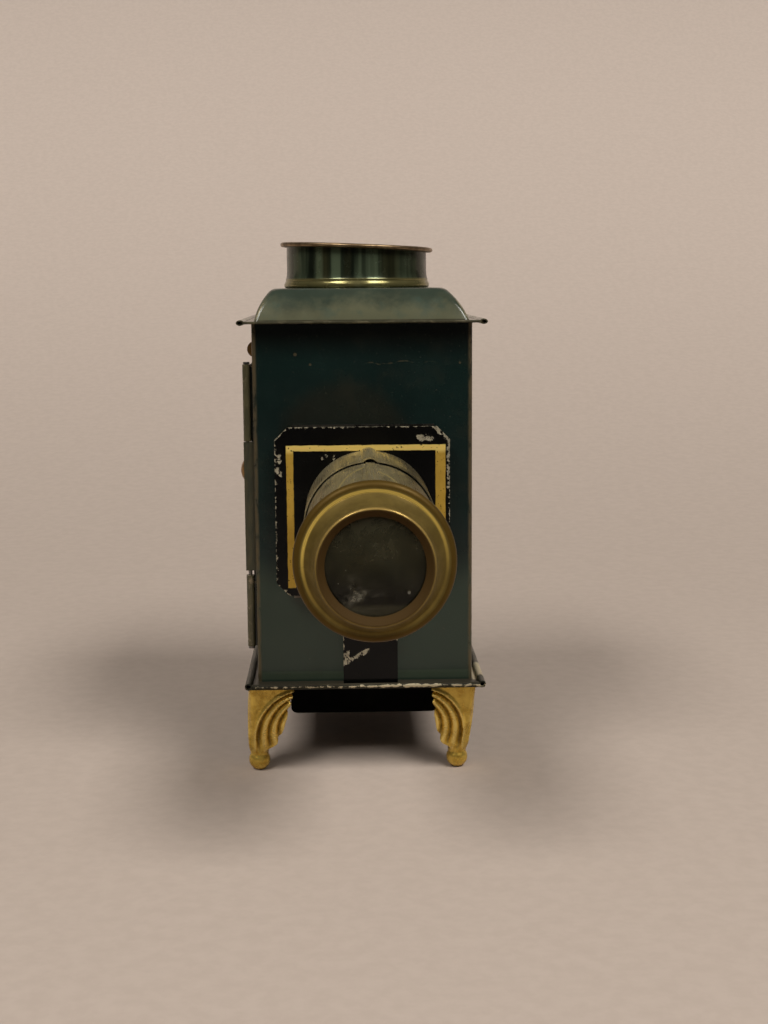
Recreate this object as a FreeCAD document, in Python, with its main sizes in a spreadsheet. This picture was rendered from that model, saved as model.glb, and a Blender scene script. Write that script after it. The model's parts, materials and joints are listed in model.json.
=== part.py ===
import FreeCAD, Part
import math
import os
from types import SimpleNamespace

import Sketcher

# A small tin magic lantern: a lamp house on four cast feet with an oil lamp inside,
# a slide stage and a drawn focusing lens in front, and a short chimney on the roof.
# Lengths are in millimetres. +Z is up, the lens looks along -Y and the door is on the -X side.
# The origin is on the floor, under the middle of the lantern's length.

DIMENSIONS = {
    # Lamp house
    "body_width": 80.0,
    "body_depth": 120.0,
    "body_height": 132.7,
    "wall": 0.6,
    "corner_bend": 1.5,
    "panel_return": 8.0,
    # Base
    "leg_height": 32.6,
    "base_sheet": 0.8,
    "base_side_lip": 4.3,
    "base_front_lip": 10.0,
    "base_rear_lip": 4.8,
    "side_hem_radius": 1.3,
    "end_hem_radius": 1.0,
    "hem_sheet": 0.5,
    "hem_lift": 0.15,
    "hem_mouth": 3.0,
    "vent_radius": 2.4,
    "vents_per_row": 5.0,
    "vent_offset": 23.0,
    "vent_spacing": 10.0,
    "tray_width": 58.0,
    "tray_length": 55.0,
    "tray_drop": 21.0,
    "tray_sheet": 0.6,
    "tray_bend": 2.5,
    "louvre_length": 16.0,
    "louvre_height": 4.0,
    "louvre_spacing": 26.0,
    "louvre_drop": 5.0,
    # Feet
    "foot_inset": 7.2,
    "foot_lean": 2.0,
    "foot_shift": -0.8,
    "foot_setback": 2.4,
    "ball_radius": 4.0,
    "ball_flat": 0.3,
    "ankle_radius": 2.8,
    "ankle_height": 9.0,
    "knee_height": 15.0,
    "knee_inset": 1.4,
    "wing_width": 16.4,
    "wing_sheet": 2.6,
    "leg_top_radius": 3.7,
    # Roof
    "eave_side_lip": 5.1,
    "eave_end_lip": 4.6,
    "eave_sheet": 0.7,
    "eave_hem_radius": 0.95,
    "roof_inset": 0.9,
    "roof_run": 6.8,
    "roof_rise": 11.7,
    "roof_curve": 26.0,
    "roof_sheet": 0.8,
    "eave_ledge": 1.0,
    # Chimney
    "chimney_shift": -1.1,
    "chimney_radius": 27.7,
    "chimney_wall": 0.6,
    "chimney_height": 14.9,
    "chimney_flare": 1.0,
    "flare_height": 3.6,
    "flare_edge": 0.9,
    "rim_radius": 30.2,
    "rim_bead": 0.85,
    "rim_tilt": 2.4,
    "collar_clearance": 0.4,
    "collar_wall": 0.6,
    "collar_height": 4.0,
    # Door and hinge
    "door_gap": 0.2,
    "door_sheet": 0.7,
    "door_sill": 13.0,
    "door_height": 104.9,
    "door_length": 88.0,
    "door_overlap": 4.5,
    "door_front_overlap": 8.0,
    "hinge_setback": 4.0,
    "hinge_standoff": 2.2,
    "barrel_radius": 1.5,
    "pin_radius": 0.7,
    "pin_clearance": 0.05,
    "pin_head_radius": 1.2,
    "pin_head": 0.8,
    "pin_end_gap": 0.1,
    "upper_knuckle": 28.0,
    "lower_knuckle": 27.0,
    "upper_knuckle_gap": 0.3,
    "lower_knuckle_gap": 1.8,
    "notch_clearance": 0.4,
    # Door furniture
    "knob_setback": 47.0,
    "knob_height": 60.5,
    "knob_reach": 7.2,
    "knob_dome": 1.4,
    "knob_radius": 4.0,
    "knob_flange_radius": 3.2,
    "knob_flange": 0.8,
    "knob_neck_radius": 1.6,
    "knob_neck": 1.6,
    "knob_spigot_radius": 1.2,
    "nut_radius": 2.8,
    "nut_height": 1.6,
    "button_setback": 46.0,
    "button_drop": 2.6,
    "button_radius": 2.1,
    "button_arm": 4.2,
    "button_sheet": 0.6,
    "button_grip": 2.6,
    "button_standoff": 1.8,
    "button_play": 0.1,
    "button_rivet_radius": 0.9,
    "button_head_radius": 1.3,
    "button_head": 0.6,
    # Slide stage and lens board
    "lens_axis": 97.4,
    "lens_shift": 1.8,
    "slide_gap": 5.4,
    "slide_height": 56.0,
    "guide_sheet": 0.8,
    "guide_width": 52.0,
    "guide_flange": 4.0,
    "board_sheet": 0.8,
    "board_width": 63.4,
    "board_shift": -0.4,
    "board_above": 31.7,
    "board_below": 30.1,
    "board_chamfer": 4.7,
    "tongue_width": 20.0,
    "tongue_shift": 2.0,
    "tongue_foot": 1.7,
    "spring_spacing": 54.0,
    "spring_width": 5.0,
    "spring_length": 50.0,
    "spring_bow": 0.8,
    "spring_sheet": 0.25,
    "spring_foot": 2.0,
    # Lens tubes
    "sleeve_radius": 23.1,
    "tube_wall": 0.5,
    "sleeve_reach": 38.0,
    "draw_clearance": 0.3,
    "draw_rear": 18.0,
    "key_width": 7.0,
    "key_height": 1.2,
    "key_sheet": 0.6,
    "rib_width": 3.4,
    "rib_height": 0.55,
    # Lens bezel, its distances measured back from the front of the lens
    "lens_reach": 112.5,
    "bezel_radius": 24.8,
    "bezel_bead": 1.9,
    "bezel_collar": 1.0,
    "bead_setback": 11.5,
    "collar_setback": 17.0,
    "face_radius": 21.3,
    "face_setback": 9.7,
    "cove_radius": 13.0,
    "lip_radius": 17.4,
    "lip_half_width": 0.6,
    "lip_bead": 0.65,
    "lip_setback": 0.65,
    "glass_radius": 15.1,
    "glass_edge_setback": 2.3,
    "seat_setback": 3.1,
    "seat_radius": 16.4,
    # Lenses
    "lens_clearance": 0.1,
    "front_lens_edge": 2.4,
    "front_lens_sag": 1.4,
    "retainer_width": 1.4,
    "retainer_height": 1.5,
    "rear_lens_setin": 3.5,
    "rear_lens_edge": 3.0,
    "rear_lens_sag": 2.2,
    "rear_ring_width": 1.6,
    "rear_ring_height": 1.2,
    # Condenser
    "aperture_radius": 20.5,
    "condenser_radius": 22.6,
    "condenser_edge": 2.6,
    "condenser_sag": 6.0,
    "condenser_flat": 1.6,
    "condenser_ring_height": 1.2,
    "cell_wall": 1.2,
    "cell_depth": 6.0,
    # Oil lamp
    "tank_length": 52.0,
    "tank_depth": 36.0,
    "tank_bend": 5.0,
    "tank_height": 24.0,
    "tank_sheet": 0.6,
    "burner_hole": 8.0,
    "filler_offset": 19.8,
    "filler_hole": 2.6,
    "cap_radius": 3.6,
    "cap_height": 4.0,
    "cap_plug": 4.0,
    "cap_clearance": 0.3,
    "gallery_radius": 9.5,
    "gallery_sheet": 0.6,
    "gallery_drum": 5.0,
    "gallery_floor": 0.8,
    "cup_radius": 15.6,
    "cup_foot": 9.0,
    "cup_height": 13.0,
    "cup_ledge": 2.0,
    "wick_width": 12.0,
    "wick_thickness": 2.2,
    "wick_clearance": 0.2,
    "wick_tube_sheet": 0.5,
    "wick_tube_dip": 6.0,
    "flame_height": 13.0,
    "wick_above": 2.5,
    "wick_length": 48.0,
    "wheel_radius": 2.0,
    "wheel_width": 1.2,
    "wheel_spacing": 6.0,
    "wheel_gap": 0.3,
    "window_clearance": 0.5,
    "spindle_radius": 0.8,
    "spindle_height": 2.6,
    "spindle_tail": 7.0,
    "spindle_reach": 27.5,
    "wick_knob_radius": 5.5,
    "wick_knob_width": 3.0,
    "wick_knob_round": 0.6,
    "glass_clearance": 0.3,
    "glass_wall": 0.9,
    "glass_foot": 14.0,
    "glass_bulge": 30.0,
    "glass_sag": 2.4,
    "glass_shoulder": 12.0,
    "glass_height": 76.0,
    "glass_top_radius": 11.5,
    "reflector_distance": 24.5,
    "reflector_radius": 24.0,
    "reflector_depth": 7.0,
    "reflector_sheet": 0.6,
    "boss_radius": 4.0,
    "boss_height": 0.8,
    "bracket_width": 8.0,
    "bracket_sheet": 0.8,
    "bracket_foot": 14.5,
    "bracket_above": 5.0,
    "rail_clearance": 0.3,
    "rail_sheet": 0.8,
    "rail_height": 5.0,
    "rail_length": 60.0,
    "stop_width": 20.0,
}

UPRIGHT = FreeCAD.Rotation()
FORWARD = FreeCAD.Rotation(FreeCAD.Vector(1, 0, 0), 90)
DOORWARD = FreeCAD.Rotation(FreeCAD.Vector(0, 1, 0), -90)
SKETCH_NORMAL = FreeCAD.Vector(0, 0, 1)
LEAF_LOBES = 3


class Size:
    """A length that carries its value and the formula that ties it to the sheet."""

    def __init__(self, value, formula):
        self.value = value
        self.formula = formula

    def joined(self, other, sign, value):
        return Size(value, f"({self.formula} {sign} {other.formula})")

    def __add__(self, other):
        other = as_size(other)
        return self.joined(other, "+", self.value + other.value)

    def __sub__(self, other):
        other = as_size(other)
        return self.joined(other, "-", self.value - other.value)

    def __mul__(self, other):
        other = as_size(other)
        return self.joined(other, "*", self.value * other.value)

    def __truediv__(self, other):
        other = as_size(other)
        return self.joined(other, "/", self.value / other.value)

    def __neg__(self):
        return self * -1


def as_size(number):
    return number if isinstance(number, Size) else Size(float(number), f"({float(number)})")


doc = FreeCAD.newDocument("magic_lantern")
nodes = []


def fill_sheet():
    sheet = doc.addObject("Spreadsheet::Sheet", "Dims")
    sizes = SimpleNamespace()
    for row, (name, value) in enumerate(DIMENSIONS.items(), start=1):
        sheet.set(f"A{row}", name)
        sheet.set(f"B{row}", str(value))
        sheet.setAlias(f"B{row}", name)
        setattr(sizes, name, Size(value, f"Dims.{name}"))
    doc.recompute()
    return sizes


d = fill_sheet()

# Planes that several pieces share
half_width = d.body_width / 2
front = (d.lens_reach - d.body_depth - d.base_rear_lip) / 2
lamp_y = front + d.body_depth / 2
base_top = d.leg_height + d.base_sheet
wall_top = base_top + d.body_height
eave_top = wall_top + d.eave_sheet
roof_top = eave_top + d.roof_rise
board_back = front - d.slide_gap
board_front = board_back - d.board_sheet
door_low = base_top + d.door_sill
door_high = door_low + d.door_height
door_inner = -(half_width + d.door_gap)
door_outer = door_inner - d.door_sheet
hinge_x = -(half_width + d.hinge_standoff)
hinge_y = front + d.hinge_setback
tank_top = base_top + d.tank_height
draw_radius = d.sleeve_radius - d.tube_wall - d.draw_clearance


# Helpers for the document

def bind(item, **sizes):
    for name, size in sizes.items():
        item.setExpression(name, as_size(size).formula)
    return item


def place(item, at, rotation=UPRIGHT):
    item.Placement = FreeCAD.Placement(FreeCAD.Vector(), rotation)
    for axis, size in zip("xyz", at):
        item.setExpression(f"Placement.Base.{axis}", as_size(size).formula)
    return item


def node(item, label):
    item.Label = label
    nodes.append(item)
    return item


def block(name, low, high):
    item = doc.addObject("Part::Box", name)
    sides = [as_size(far) - near for near, far in zip(low, high)]
    bind(item, Length=sides[0], Width=sides[1], Height=sides[2])
    return place(item, low)


def cylinder(name, at, radius, height, rotation=UPRIGHT):
    item = bind(doc.addObject("Part::Cylinder", name), Radius=radius, Height=height)
    return place(item, at, rotation)


def fuse(name, pieces):
    item = doc.addObject("Part::MultiFuse", name)
    item.Shapes = pieces
    return item


def cut(name, base, tool):
    item = doc.addObject("Part::Cut", name)
    item.Base = base
    item.Tool = tool
    return item


def group(name, pieces):
    item = doc.addObject("Part::Compound", name)
    item.Links = pieces
    return item


def tube(name, at, radius, bore, height, rotation=UPRIGHT):
    outer = cylinder(f"{name}_outside", at, radius, height, rotation)
    inner = cylinder(f"{name}_bore", at, bore, height, rotation)
    return cut(name, outer, inner)


# Helpers for sketches

def new_body(name, at=(0, 0, 0), rotation=UPRIGHT):
    return place(doc.addObject("PartDesign::Body", name), at, rotation)


def new_sketch(body, role, name):
    sketch = body.newObject("Sketcher::SketchObject", f"{body.Name}_{name}")
    plane = next(item for item in body.Origin.OriginFeatures if item.Role == role)
    sketch.AttachmentSupport = [(plane, "")]
    sketch.MapMode = "FlatFace"
    return sketch


def bind_constraint(sketch, size, kind, *where):
    index = sketch.addConstraint(Sketcher.Constraint(kind, *where, size.value))
    name = f"size_{index}"
    sketch.renameConstraint(index, name)
    sketch.setExpression(f"Constraints.{name}", size.formula)


def fix_point(sketch, piece, end, x, y):
    bind_constraint(sketch, as_size(x), "DistanceX", -1, 1, piece, end)
    bind_constraint(sketch, as_size(y), "DistanceY", -1, 1, piece, end)


def arc_centre(start, end, radius, side):
    chord = end - start
    reach = math.sqrt(radius ** 2 - (chord.Length / 2) ** 2)
    to_left = FreeCAD.Vector(-chord.y, chord.x, 0).normalize()
    return (start + end) / 2 + to_left * (reach if side == "left" else -reach)


def add_edge(sketch, here, there):
    """Draw from one corner to the next, as an arc where the corner gives a radius and the centre's side."""
    start = FreeCAD.Vector(as_size(here[0]).value, as_size(here[1]).value, 0)
    end = FreeCAD.Vector(as_size(there[0]).value, as_size(there[1]).value, 0)
    if len(here) == 2:
        return sketch.addGeometry(Part.LineSegment(start, end)), 1, 2
    radius, side = as_size(here[2]), here[3]
    centre = arc_centre(start, end, radius.value, side)
    first, last = (start, end) if side == "left" else (end, start)
    angles = [math.atan2(point.y - centre.y, point.x - centre.x) for point in (first, last)]
    circle = Part.Circle(centre, SKETCH_NORMAL, radius.value)
    edge = sketch.addGeometry(Part.ArcOfCircle(circle, *angles))
    return (edge, 1, 2) if side == "left" else (edge, 2, 1)


def draw_outline(sketch, corners):
    following = corners[1:] + corners[:1]
    edges = [add_edge(sketch, here, there) for here, there in zip(corners, following)]
    for (edge, _, last), (after, first, _) in zip(edges, edges[1:] + edges[:1]):
        sketch.addConstraint(Sketcher.Constraint("Coincident", edge, last, after, first))
    for (edge, first, _), corner in zip(edges, corners):
        fix_point(sketch, edge, first, corner[0], corner[1])
        if len(corner) > 2:
            bind_constraint(sketch, as_size(corner[2]), "Radius", edge)


def draw_circle(sketch, x, y, radius):
    centre = FreeCAD.Vector(as_size(x).value, as_size(y).value, 0)
    circle = sketch.addGeometry(Part.Circle(centre, SKETCH_NORMAL, radius.value))
    fix_point(sketch, circle, 3, x, y)
    bind_constraint(sketch, radius, "Radius", circle)


def rectangle(low_x, low_y, high_x, high_y):
    return [(low_x, low_y), (high_x, low_y), (high_x, high_y), (low_x, high_y)]


def pad(body, sketch, length, backward=False, both_ways=False):
    feature = body.newObject("PartDesign::Pad", f"{sketch.Name}_pad")
    feature.Profile = sketch
    feature.Reversed = backward
    if both_ways:
        feature.SideType = "Symmetric"
    return bind(feature, Length=length)


def padded(name, role, corners, length, at=(0, 0, 0), backward=False, both_ways=False):
    body = new_body(name, at)
    sketch = new_sketch(body, role, "outline")
    draw_outline(sketch, corners)
    pad(body, sketch, length, backward, both_ways)
    return body


def turned(name, corners, at, rotation=UPRIGHT):
    """A piece turned about its own Z axis from corners given as radius and height."""
    body = new_body(name, at, rotation)
    sketch = new_sketch(body, "XZ_Plane", "profile")
    draw_outline(sketch, corners)
    feature = body.newObject("PartDesign::Revolution", f"{name}_turn")
    feature.Profile = sketch
    feature.ReferenceAxis = (sketch, ["V_Axis"])
    return body


def optic(name, corners):
    """A turned piece on the lens axis, with heights measured forward from the front wall."""
    return node(turned(name, corners, (d.lens_shift, front, d.lens_axis), FORWARD), name)


def ring_profile(bore, radius, low, high):
    return rectangle(bore, low, radius, high)


# Lamp house

def channel(half, shut, mouth, toward):
    """Plan of a bent sheet: a closed side at y = shut and two arms that reach y = mouth."""
    bend_y = shut + d.corner_bend * toward
    inner_y = shut + d.wall * toward
    inner = half - d.wall
    flat = half - d.corner_bend
    inner_bend = d.corner_bend - d.wall
    outside, inside = ("left", "right") if toward > 0 else ("right", "left")
    return [
        (-half, mouth),
        (-half, bend_y, d.corner_bend, outside),
        (-flat, shut),
        (flat, shut, d.corner_bend, outside),
        (half, bend_y),
        (half, mouth),
        (inner, mouth),
        (inner, bend_y, inner_bend, inside),
        (flat, inner_y),
        (-flat, inner_y, inner_bend, inside),
        (-inner, bend_y),
        (-inner, mouth),
    ]


def front_panel():
    sheet = padded("front_sheet", "XY_Plane", channel(half_width, as_size(0), d.panel_return, 1),
                   d.body_height, (0, front, base_top))
    light_hole = cylinder("front_light_hole", (d.lens_shift, front + d.panel_return, d.lens_axis),
                          d.aperture_radius, d.panel_return * 2, FORWARD)
    node(cut("front_panel", sheet, light_hole), "front_panel")


def body_wrap():
    plan = channel(half_width - d.wall, d.body_depth, d.corner_bend, -1)
    sheet = padded("wrap_sheet", "XY_Plane", plan, d.body_height, (0, front, base_top))
    doorway = block(
        "doorway",
        (-half_width, hinge_y + d.door_front_overlap, door_low + d.door_overlap),
        (-half_width / 2, hinge_y + d.door_length - d.door_overlap, door_high - d.door_overlap),
    )
    node(cut("body_wrap", sheet, doorway), "body_wrap")


def vent_row(name, y):
    count = round(d.vents_per_row.value)
    middle = (count - 1) / 2
    return [cylinder(f"vent_{name}_{index}", (d.vent_spacing * (index - middle), y, d.leg_height),
                     d.vent_radius, d.base_sheet)
            for index in range(count)]


def base_plate():
    half_base = half_width + d.base_side_lip
    low_y = front - d.base_front_lip
    high_y = front + d.body_depth + d.base_rear_lip
    side_x = half_base - d.side_hem_radius
    side_z = d.leg_height + d.side_hem_radius + d.hem_lift
    end_z = d.leg_height + d.end_hem_radius + d.hem_lift
    end_low = low_y + d.end_hem_radius
    end_high = high_y - d.end_hem_radius
    sheet = block("base_sheet_block", (-side_x, end_low, d.leg_height), (side_x, end_high, base_top))
    rolls = [cylinder(f"base_side_roll_{index}", (x, high_y, side_z), d.side_hem_radius, high_y - low_y,
                      FORWARD)
             for index, x in enumerate((-side_x, side_x))]
    rolls += [cylinder(f"base_end_roll_{index}", (side_x, y, end_z), d.end_hem_radius, side_x * 2, DOORWARD)
              for index, y in enumerate((end_low, end_high))]
    mouths = [cylinder(f"base_roll_mouth_{index}", (x, low_y + d.hem_mouth, side_z),
                       d.side_hem_radius - d.hem_sheet, d.hem_mouth, FORWARD)
              for index, x in enumerate((-side_x, side_x))]
    vents = vent_row("front", lamp_y - d.vent_offset) + vent_row("rear", lamp_y + d.vent_offset)
    blank = fuse("base_blank", [sheet] + rolls)
    node(cut("base_plate", blank, fuse("base_waste", mouths + vents)), "base_plate")


def tray_section(half, depth, bend):
    """Cross-section of the tray, measured down from the base, with rounded lower edges."""
    zero = as_size(0)
    return [
        (-half, zero),
        (-half, -(depth - bend), bend, "left"),
        (-(half - bend), -depth),
        (half - bend, -depth, bend, "left"),
        (half, -(depth - bend)),
        (half, zero),
    ]


def draught_tray():
    """Tray under the base: air reaches the lamp through its sides, and no light escapes."""
    half = d.tray_width / 2
    at = (0, lamp_y, d.leg_height)
    outside = padded("tray_outside", "XZ_Plane", tray_section(half, d.tray_drop, d.tray_bend),
                     d.tray_length, at, both_ways=True)
    inside = padded("tray_inside", "XZ_Plane",
                    tray_section(half - d.tray_sheet, d.tray_drop - d.tray_sheet, d.tray_bend - d.tray_sheet),
                    d.tray_length - d.tray_sheet * 2, at, both_ways=True)
    louvre_top = d.leg_height - d.louvre_drop
    louvre_offset = d.louvre_spacing / 2
    louvres = [block(f"tray_louvre_{name}", (-half, y - d.louvre_length / 2, louvre_top - d.louvre_height),
                     (half, y + d.louvre_length / 2, louvre_top))
               for name, y in (("front", lamp_y - louvre_offset), ("rear", lamp_y + louvre_offset))]
    node(cut("draught_tray", outside, fuse("tray_waste", [inside] + louvres)), "draught_tray")


# Feet

def leaf_edge(top, foot):
    """Scalloped edge of a leaf wing: equal lobes from its top corner down to the ankle."""
    corners = []
    for index in range(LEAF_LOBES):
        share = index / LEAF_LOBES
        x = top[0] + (foot[0] - top[0]) * share
        z = top[1] + (foot[1] - top[1]) * share
        corners.append((x, z, (top[1] - foot[1]) / LEAF_LOBES, "right"))
    return corners


def foot_wing(name, role, inset):
    inner = inset + d.ankle_radius
    outer = inset - d.ankle_radius
    tip = d.knee_inset + d.wing_width
    ankle = (inner, d.ankle_height)
    corners = [(d.knee_inset, d.leg_height)]
    corners += leaf_edge((tip, d.leg_height), ankle)
    corners += [ankle, (outer, d.ankle_height), (d.knee_inset, d.knee_height)]
    offset = (0, d.knee_inset, 0) if role == "XZ_Plane" else (d.knee_inset, 0, 0)
    return padded(name, role, corners, d.wing_sheet, offset, backward=role == "XZ_Plane")


def foot(name, side_x, side_y, quarter_turns):
    """A corner foot drawn at the origin with wings along +X and +Y, then turned to its corner."""
    insets = [d.foot_inset + d.foot_lean * side_x, d.foot_inset]
    inset_x, inset_y = insets if quarter_turns % 2 == 0 else insets[::-1]
    wings = [
        foot_wing(f"{name}_XZ_wing", "XZ_Plane", inset_x),
        foot_wing(f"{name}_YZ_wing", "YZ_Plane", inset_y),
    ]
    shin = bind(
        doc.addObject("Part::Cone", f"{name}_shin"),
        Radius1=d.ankle_radius,
        Radius2=d.leg_top_radius,
        Height=d.leg_height - d.ball_radius,
    )
    place(shin, (inset_x, inset_y, d.ball_radius))
    ball = bind(doc.addObject("Part::Sphere", f"{name}_ball"), Radius=d.ball_radius)
    place(ball, (inset_x, inset_y, d.ball_radius - d.ball_flat))
    floor = block(f"{name}_floor", (0, 0, -d.ball_radius), (inset_x * 2, inset_y * 2, 0))
    leg = cut(name, fuse(f"{name}_casting", wings + [shin, ball]), floor)
    x = (half_width + d.base_side_lip) * side_x + d.foot_shift
    front_y = front - d.base_front_lip + d.foot_setback
    y = front_y if side_y < 0 else front + d.body_depth + d.base_rear_lip
    place(leg, (x, y, 0), FreeCAD.Rotation(SKETCH_NORMAL, 90 * quarter_turns))
    node(leg, name)


def feet():
    foot("foot_front_left", -1, -1, 0)
    foot("foot_front_right", 1, -1, 1)
    foot("foot_rear_right", 1, 1, 2)
    foot("foot_rear_left", -1, 1, 3)


# Roof and chimney

def hood_profile(half_foot, half_crown, rise):
    return [
        (-half_foot, as_size(0), d.roof_curve, "right"),
        (-half_crown, rise),
        (half_crown, rise, d.roof_curve, "right"),
        (half_foot, as_size(0)),
    ]


def hood(name, shrink, rise):
    """Hipped hood: what a profile drawn along the house shares with one drawn across it."""
    at = (0, lamp_y, eave_top - d.eave_sheet / 2)
    half_x = half_width - d.roof_inset - shrink
    half_y = d.body_depth / 2 - d.roof_inset - shrink
    along = padded(f"{name}_along", "XZ_Plane", hood_profile(half_x, half_x - d.roof_run, rise),
                   d.body_depth * 2, at, both_ways=True)
    across = padded(f"{name}_across", "YZ_Plane", hood_profile(half_y, half_y - d.roof_run, rise),
                    d.body_width * 2, at, both_ways=True)
    item = doc.addObject("Part::Common", name)
    item.Base = along
    item.Tool = across
    return item


def roof():
    rise = d.roof_rise + d.eave_sheet / 2
    shell = cut("hood_shell", hood("hood_outside", as_size(0), rise),
                hood("hood_inside", d.roof_sheet, rise - d.roof_sheet))
    half_x = half_width + d.eave_side_lip
    half_y = d.body_depth / 2 + d.eave_end_lip
    hem_x = half_x - d.eave_hem_radius
    hem_y = half_y - d.eave_hem_radius
    hem_z = wall_top + d.eave_sheet / 2
    mouth_inset = d.roof_inset + d.roof_sheet + d.eave_ledge
    mouth_x = half_width - mouth_inset
    mouth_y = d.body_depth / 2 - mouth_inset
    flange = cut(
        "eave_flange",
        block("eave_sheet_block", (-hem_x, lamp_y - hem_y, wall_top), (hem_x, lamp_y + hem_y, eave_top)),
        block("eave_mouth", (-mouth_x, lamp_y - mouth_y, wall_top), (mouth_x, lamp_y + mouth_y, eave_top)),
    )
    rolls = [cylinder(f"eave_side_roll_{index}", (x, lamp_y + half_y, hem_z), d.eave_hem_radius, half_y * 2,
                      FORWARD)
             for index, x in enumerate((-hem_x, hem_x))]
    rolls += [cylinder(f"eave_end_roll_{index}", (hem_x, y, hem_z), d.eave_hem_radius, hem_x * 2, DOORWARD)
              for index, y in enumerate((lamp_y - hem_y, lamp_y + hem_y))]
    collar_hole = cylinder("collar_hole", (d.chimney_shift, lamp_y, eave_top), collar_radius(),
                           d.roof_rise * 2)
    blank = fuse("roof_blank", [flange, shell] + rolls)
    item = node(cut("roof", blank, collar_hole), "roof")
    blank.Refine = False
    item.Refine = False


def chimney_bore():
    return d.chimney_radius - d.chimney_wall


def collar_radius():
    return chimney_bore() - d.collar_clearance


def rim_place():
    return d.chimney_shift, lamp_y, roof_top + d.chimney_height


def roof_collar():
    low = roof_top - d.roof_sheet
    ring = tube("roof_collar", (d.chimney_shift, lamp_y, low), collar_radius(),
                collar_radius() - d.collar_wall, d.roof_sheet + d.collar_height)
    node(ring, "roof_collar")


def chimney_tube():
    flare = d.chimney_radius + d.chimney_flare
    spare = d.chimney_height * 2
    profile = [
        (chimney_bore(), as_size(0)),
        (flare, as_size(0)),
        (flare, d.flare_edge),
        (d.chimney_radius, d.flare_height),
        (d.chimney_radius, spare),
        (chimney_bore(), spare),
    ]
    long_tube = turned("chimney_blank", profile, (d.chimney_shift, lamp_y, roof_top))
    above = cylinder("chimney_trim", rim_place(), d.rim_radius * 2, spare,
                     FreeCAD.Rotation(FreeCAD.Vector(0, 1, 0), d.rim_tilt.value))
    above.setExpression("Placement.Rotation.Angle", d.rim_tilt.formula)
    node(cut("chimney_tube", long_tube, above), "chimney_tube")


def chimney_rim():
    bead_x = d.rim_radius - d.rim_bead
    bead_top = d.rim_bead * 2
    profile = [
        (chimney_bore(), as_size(0)),
        (bead_x, as_size(0), d.rim_bead, "left"),
        (d.rim_radius, d.rim_bead, d.rim_bead, "left"),
        (bead_x, bead_top),
        (chimney_bore(), bead_top),
    ]
    rim = turned("chimney_rim", profile, rim_place(),
                 FreeCAD.Rotation(FreeCAD.Vector(0, 1, 0), d.rim_tilt.value))
    rim.setExpression("Placement.Rotation.Angle", d.rim_tilt.formula)
    node(rim, "chimney_rim")


# Door, hinge and turn button

def barrel(name, low, high):
    return cylinder(name, (hinge_x, hinge_y, low), d.barrel_radius, high - low)


def pin_bore(name):
    return cylinder(name, (hinge_x, hinge_y, door_low), d.pin_radius + d.pin_clearance, d.door_height)


def knob_place():
    return hinge_y + d.knob_setback, door_low + d.knob_height


def door_panel():
    lower_end = door_low + d.lower_knuckle
    upper_end = door_high - d.upper_knuckle
    sheet = block("door_sheet_block", (door_outer, hinge_y, door_low),
                  (door_inner, hinge_y + d.door_length, door_high))
    knuckles = [barrel("lower_barrel", door_low, lower_end), barrel("upper_barrel", upper_end, door_high)]
    notch_low = lower_end + d.lower_knuckle_gap - d.notch_clearance
    notch = block("door_notch", (door_outer, hinge_y, notch_low),
                  (door_inner, hinge_y + d.barrel_radius + d.notch_clearance, upper_end))
    knob_y, knob_z = knob_place()
    knob_hole = cylinder("door_knob_hole", (door_inner, knob_y, knob_z),
                         d.knob_spigot_radius + d.pin_clearance, d.door_sheet, DOORWARD)
    waste = fuse("door_waste", [notch, pin_bore("door_bore"), knob_hole])
    node(cut("door_panel", fuse("door_blank", [sheet] + knuckles), waste), "door_panel")


def hinge_leaf():
    low = door_low + d.lower_knuckle + d.lower_knuckle_gap
    high = door_high - d.upper_knuckle - d.upper_knuckle_gap
    plate = block("leaf_plate", (hinge_x - d.barrel_radius, hinge_y - d.barrel_radius, low),
                  (-half_width, hinge_y, high))
    blank = fuse("leaf_blank", [plate, barrel("middle_barrel", low, high)])
    node(cut("hinge_leaf", blank, pin_bore("leaf_bore")), "hinge_leaf")


def hinge_pin():
    low = door_low - d.pin_end_gap
    high = door_high + d.pin_end_gap
    shank = cylinder("pin_shank", (hinge_x, hinge_y, low), d.pin_radius, high - low)
    heads = [cylinder(f"pin_head_{index}", (hinge_x, hinge_y, z), d.pin_head_radius, d.pin_head)
             for index, z in enumerate((low - d.pin_head, high))]
    node(fuse("hinge_pin", [shank] + heads), "hinge_pin")


def door_knob():
    knob_y, knob_z = knob_place()
    spigot_end = -(d.door_sheet + d.nut_height)
    neck_end = d.knob_flange + d.knob_neck
    widest = d.knob_reach - d.knob_dome
    profile = [
        (as_size(0), spigot_end),
        (d.knob_spigot_radius, spigot_end),
        (d.knob_spigot_radius, as_size(0)),
        (d.knob_flange_radius, as_size(0)),
        (d.knob_flange_radius, d.knob_flange),
        (d.knob_neck_radius, d.knob_flange),
        (d.knob_neck_radius, neck_end, d.knob_radius, "left"),
        (d.knob_radius, widest, dome_curve(d.knob_radius, d.knob_dome), "left"),
        (as_size(0), d.knob_reach),
    ]
    node(turned("door_knob", profile, (door_outer, knob_y, knob_z), DOORWARD), "door_knob")


def door_knob_nut():
    knob_y, knob_z = knob_place()
    nut = tube("door_knob_nut", (door_inner + d.nut_height, knob_y, knob_z), d.nut_radius,
               d.knob_spigot_radius + d.pin_clearance, d.nut_height, DOORWARD)
    node(nut, "door_knob_nut")


def button_place():
    return front + d.button_setback, door_high + d.button_drop


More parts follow.
